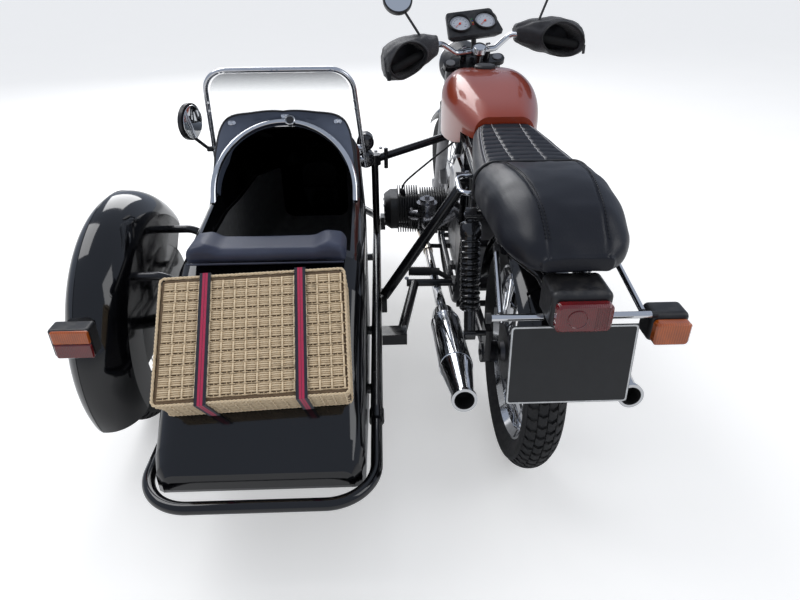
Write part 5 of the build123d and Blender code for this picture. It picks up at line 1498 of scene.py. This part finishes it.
class OUTFIT_OT_fittings(bpy.types.Operator):
    """Add shock coils, plug leads, lamp rims, footrest rubbers, bolts, damper knob, silencer bands and sleeves"""
    bl_idname = "outfit.fittings"
    bl_label = "Fittings"

    def execute(self, context):
        shine, enamel = look("chrome"), look("black_enamel")
        rubber, steel = look("soft_rubber"), look("brushed_steel")
        coils, caps = bmesh.new(), bmesh.new()
        for side in (-1, 1):
            foot, top = [at(side * 150, *eye) for eye in SHOCK_EYES]
            axis = (top - foot).normalized()
            length = (top - foot).length * 1000
            place = facing(foot, axis, (0, -1, 0))
            low, high = 76, length - 56
            line = []
            for i in range(13 * 22 + 1):
                angle = math.tau * i / 22
                along = low + (high - low) * i / (13 * 22)
                line.append(place @ (Vector((24.2 * math.cos(angle), 24.2 * math.sin(angle), along)) / 1000))
            hose(coils, line, 3.5, 8)
            lathe(caps, [(length - 56, 0), (length - 56, 27.6), (length - 52, 28.6), (length - 28, 28.6),
                         (length - 21, 25), (length - 17, 17), (length - 17, 0)], place, 40)
            lathe(caps, [(66, 0), (66, 25), (70, 28), (75, 28), (76, 26), (76, 0)], place, 40)
        piece("shock_coils", coils, "chassis", plain("coil_black", (0.012, 0.012, 0.014), 0.13, coat=0.7))
        piece("shock_caps", caps, "chassis", look("coil_black"))
        leads = bmesh.new()
        for side in (-1, 1):
            y = 860 - side * 16 - 46
            head = at(side * 296, y, 488)
            cap = facing(head, (side * 0.25, -0.55, 0.8))
            lathe(leads, [(-6, 0), (-6, 6), (4, 7.5), (6, 10), (26, 10), (30, 8), (36, 7), (38, 4), (38, 0)], cap, 24)
            bends = [cap @ Vector((0, 0, 0.034)), at(side * 286, y - 44, 560), at(side * 200, y - 60, 640),
                     at(side * 96, 770, 726), at(side * 40, 790, 790)]
            hose(leads, smooth_path(bends, 10), 3.6, 10)
        piece("plug_leads", leads, "chassis", rubber)
        rims, lens_black = bmesh.new(), bmesh.new()
        for z in (632, 696):
            place = facing(at(-437, 821, z), (0, -1, 0))
            lathe(rims, [(-9.5, 30), (-9.5, 31.8), (-2, 32.2), (2.2, 31), (2.6, 28.5), (0.5, 27.5), (-9.5, 27.5)],
                  place, 48)
            lathe(lens_black, [(0.2, 0), (0.2, 27.6), (1.8, 26), (4.2, 18), (5.2, 8), (5.4, 0)], place, 40)
        bmesh.ops.remove_doubles(rims, verts=rims.verts, dist=0.00001)
        piece("side_lamp_rims", rims, "chassis", enamel)
        piece("side_lamp_glass", lens_black, "chassis", plain("dark_glass", (0.012, 0.012, 0.016), 0.08, coat=1.0))
        place = TURN @ facing(fork_line(0, 150, 935), (0, 1, 0))
        turned("headlamp_ring", [(47, 0), (47, 91.5), (49, 92.6), (52, 92.6), (55, 90), (56, 84.5), (52.5, 83.6),
                                 (52.5, 0)], place, 64, "steering", shine)
        turned("headlamp_lens", [(52.6, 0), (52.6, 83.4), (58, 78), (64, 58), (68, 30), (69.2, 0)], place, 64,
               "steering", lamp_glass())
        pegs = bmesh.new()
        for side in (-1, 1):
            peg = facing(at(side * 212, 503, 321), (side, 0, 0.03))
            ribs = [(3 + 6 * i + along, radius) for i in range(12)
                    for along, radius in ((0, 16.2), (3.2, 16.2), (3.4, 14.6), (5.8, 14.6))]
            lathe(pegs, [(0, 13.5), *ribs, (76, 16.8), (79, 14)], peg, 28)
        piece("peg_rubbers", pegs, "chassis", rubber)
        spots, aims = [], []
        for side in (-1, 1):
            y = 860 - side * 8
            for dy in (-58, 58):
                spots.append(at(side * 372, y + dy * 0.6, 418 + 27))
                aims.append(Vector((side, 0, 0)))
            for step in range(6 if side > 0 else 0):
                angle = math.radians(60 * step)
                spots.append(at(120.5, 66 * math.cos(angle), 322 + 66 * math.sin(angle)))
                aims.append(Vector((1, 0, 0)))
            spots += [at(side * 164.5, *eye) for eye in SHOCK_EYES]
            aims += [Vector((side, 0, 0))] * 2
        for point in ((-381, 905, 652), (-400, 905, 640), (-126, 330, 738), (-44, 985, 640), (-300, 464, 316),
                      (-160, 1044, 268)):
            spots.append(at(*point))
            aims.append(Vector((0, -0.3, 1)))
        bolts("machine_bolts", "chassis", steel, spots, aims, 11.0, 6.0)
        spots = [on_fork(x, 38, 1105) for x in (-52, -44, 44, 52)]
        spots += [on_fork(x, 38 + 12 * side, 1093) for x in (-48, 48) for side in (-1, 1)]
        bolts("yoke_bolts", "steering", shine, spots, [SPIN @ STEM] * len(spots), 8.0, 5.0)
        place = facing(on_fork(0, 0, 1126.5), SPIN @ STEM, (0, 1, 0))
        knurl = [(-20 + 1.5 * i, 24.9 if i % 2 else 24.2) for i in range(12)]
        turned("damper_knob", [(-22, 24.2), *knurl, (-1, 24), (1.5, 21), (2.4, 12), (2.6, 0)], place, 48,
               "steering", shine)
        bands, soot = bmesh.new(), bmesh.new()
        for side in (-1, 1):
            front, tip = at(side * 197, 243, 320), at(side * 197, -297, 392)
            place = facing(front, (tip - front).normalized(), (0, 0, 1))
            for along in (112, 372):
                lathe(bands, [(along - 4, 42.6), (along - 3, 44.2), (along + 9, 44.2), (along + 10, 42.6)], place, 56)
            end = (tip - front).length * 1000
            lathe(soot, [(end - 39.4, 0), (end - 39.4, 19.6), (end - 1.5, 23.7), (end - 1.5, 22.6), (end - 38.6, 18.8),
                         (end - 38.6, 0)], place, 40)
        piece("silencer_soot", soot, "chassis", plain("soot", (0.006, 0.0055, 0.005), 0.9))
        sleeves = bmesh.new()
        for low, high in ((-165, -61), (61, 159.5)):
            hose(sleeves, [at(low, -371, 664), at(high, -371, 664)], 7.5, 20)
        for side in (-1, 1):
            start, stop = at(side * 127.3, -180, 726), at(side * 146, -371, 664)
            hose(sleeves, [start.lerp(stop, 0.07), start.lerp(stop, 0.95)], 6.5, 16)
        piece("lamp_bar_sleeves", sleeves, "chassis", shine)
        piece("silencer_bands", bands, "chassis", look("exhaust_chrome"))
        return {"FINISHED"}


class OUTFIT_OT_flank(bpy.types.Operator):
    """Close the sidecar mudguard's inner side over the wheel and raise its crest line"""
    bl_idname = "outfit.flank"
    bl_label = "Mudguard flank"

    def execute(self, context):
        enamel = look("black_enamel")
        axle_y, axle_z = 240, 316
        profile = ((232, -1051.5), (200, -1050), (150, -1048.5), (100, -1047.5), (60, -1047), (42, -1047.5),
                   (38, -1050), (40, -1053), (60, -1052.5), (150, -1052), (232, -1053.5))
        panel = bmesh.new()
        rings = []
        for step in range(73):
            angle = math.radians(2 + 176 * step / 72)
            c, s = math.cos(angle), math.sin(angle)
            sag = 0 if 12 < step < 60 else soft_step(abs(step - 36), 24, 36)
            rings.append([at(x, axle_y + reach * c, axle_z + reach * s - 26 * (reach / 232) * sag)
                          for reach, x in profile])
        stack(panel, rings)
        piece("guard_flank", panel, "chassis", enamel)
        crest = bmesh.new()
        turns = [math.radians(a) for a in range(44, 202, 2)]
        hose(crest, [at(-1156, axle_y + 391.5 * math.cos(turn), axle_z + 391.5 * math.sin(turn)) for turn in turns],
             1.8, 8)
        piece("guard_ridge", crest, "chassis", enamel)
        return {"FINISHED"}


class OUTFIT_OT_plate(bpy.types.Operator):
    """Edge the blank plate and set the lamp lenses"""
    bl_idname = "outfit.plate"
    bl_label = "Plate and lamps"

    def execute(self, context):
        silver = plain("plate_edge", (0.60, 0.61, 0.62), 0.25, 0.9)
        amber = look("amber_lens")
        place = facing(at(0, -403.5, 566.1), (0, -1, 0.0875))
        rim = bmesh.new()
        outer = rounded(128, 91, 7)
        inner = rounded(124.5, 87.5, 5)
        rings = [[place @ (Vector((x, y, z)) / 1000) for x, y in outline]
                 for outline, z in ((outer, -0.2), (outer, 1.0), (inner, 1.0), (inner, -0.2))]
        stack(rim, rings + rings[:1], closed=False)
        bmesh.ops.remove_doubles(rim, verts=rim.verts, dist=0.00001)
        piece("plate_edge", rim, "chassis", silver)
        lens = bmesh.new()
        slab(lens, 36.5, 26, 23, 9, facing(at(200, -377.6, 632), (0, -1, 0)), 4.0)
        piece("indicator_lens", lens, "chassis", amber, "lamp_lenses")
        red = look("red_lens")

        def on_lens(x):
            return facing(at(x, -416.6, 698), (0, -1, 0))

        tail = bmesh.new()
        slab(tail, 54.5, 30.5, 23, 12, on_lens(0), 5.0)
        lathe(tail, [(20, 20), (24.4, 20), (24.8, 18.6), (23.4, 17.6), (23.4, 0)], on_lens(-14), 40)
        for i in range(6):
            slab(tail, 1.1, 24, 24.2, 0.9, on_lens(22 + 4.6 * i), 0.5)
        piece("tail_lens", tail, "chassis", red)
        for name, half_z, z, color in (("sidecar_lens_top", 17.5, 530, amber), ("sidecar_lens_low", 19, 492.5, red)):
            lens = bmesh.new()
            slab(lens, 44, half_z, 9, 5, facing(at(-1112, -195.8, z), (0, -1, 0)), 2.5)
            piece(name, lens, "chassis", color)
        return {"FINISHED"}


OPERATORS = (OUTFIT_OT_stage, OUTFIT_OT_finishes, OUTFIT_OT_tyres, OUTFIT_OT_seat, OUTFIT_OT_cockpit,
             OUTFIT_OT_hamper, OUTFIT_OT_muffs, OUTFIT_OT_instruments, OUTFIT_OT_fittings, OUTFIT_OT_flank,
             OUTFIT_OT_plate)


class OUTFIT_PT_sidebar(bpy.types.Panel):
    """Lists what dresses the outfit"""
    bl_idname = "OUTFIT_PT_sidebar"
    bl_label = "Sidecar outfit"
    bl_space_type = "VIEW_3D"
    bl_region_type = "UI"
    bl_category = "Outfit"

    def draw(self, context):
        settings = context.scene.outfit
        for name in settings.__annotations__:
            self.layout.prop(settings, name)
        for operator in OPERATORS:
            self.layout.operator(operator.bl_idname)


CLASSES = (OutfitSettings, *OPERATORS, OUTFIT_PT_sidebar)


def register():
    for made in CLASSES:
        bpy.utils.register_class(made)
    bpy.types.Scene.outfit = bpy.props.PointerProperty(type=OutfitSettings)


def unregister():
    del bpy.types.Scene.outfit
    for made in reversed(CLASSES):
        bpy.utils.unregister_class(made)


def main():
    """Dress the outfit, piece by piece."""
    register()
    for operator in OPERATORS:
        group, name = operator.bl_idname.split(".")
        getattr(getattr(bpy.ops, group), name)()


if __name__ == "__main__":
    main()
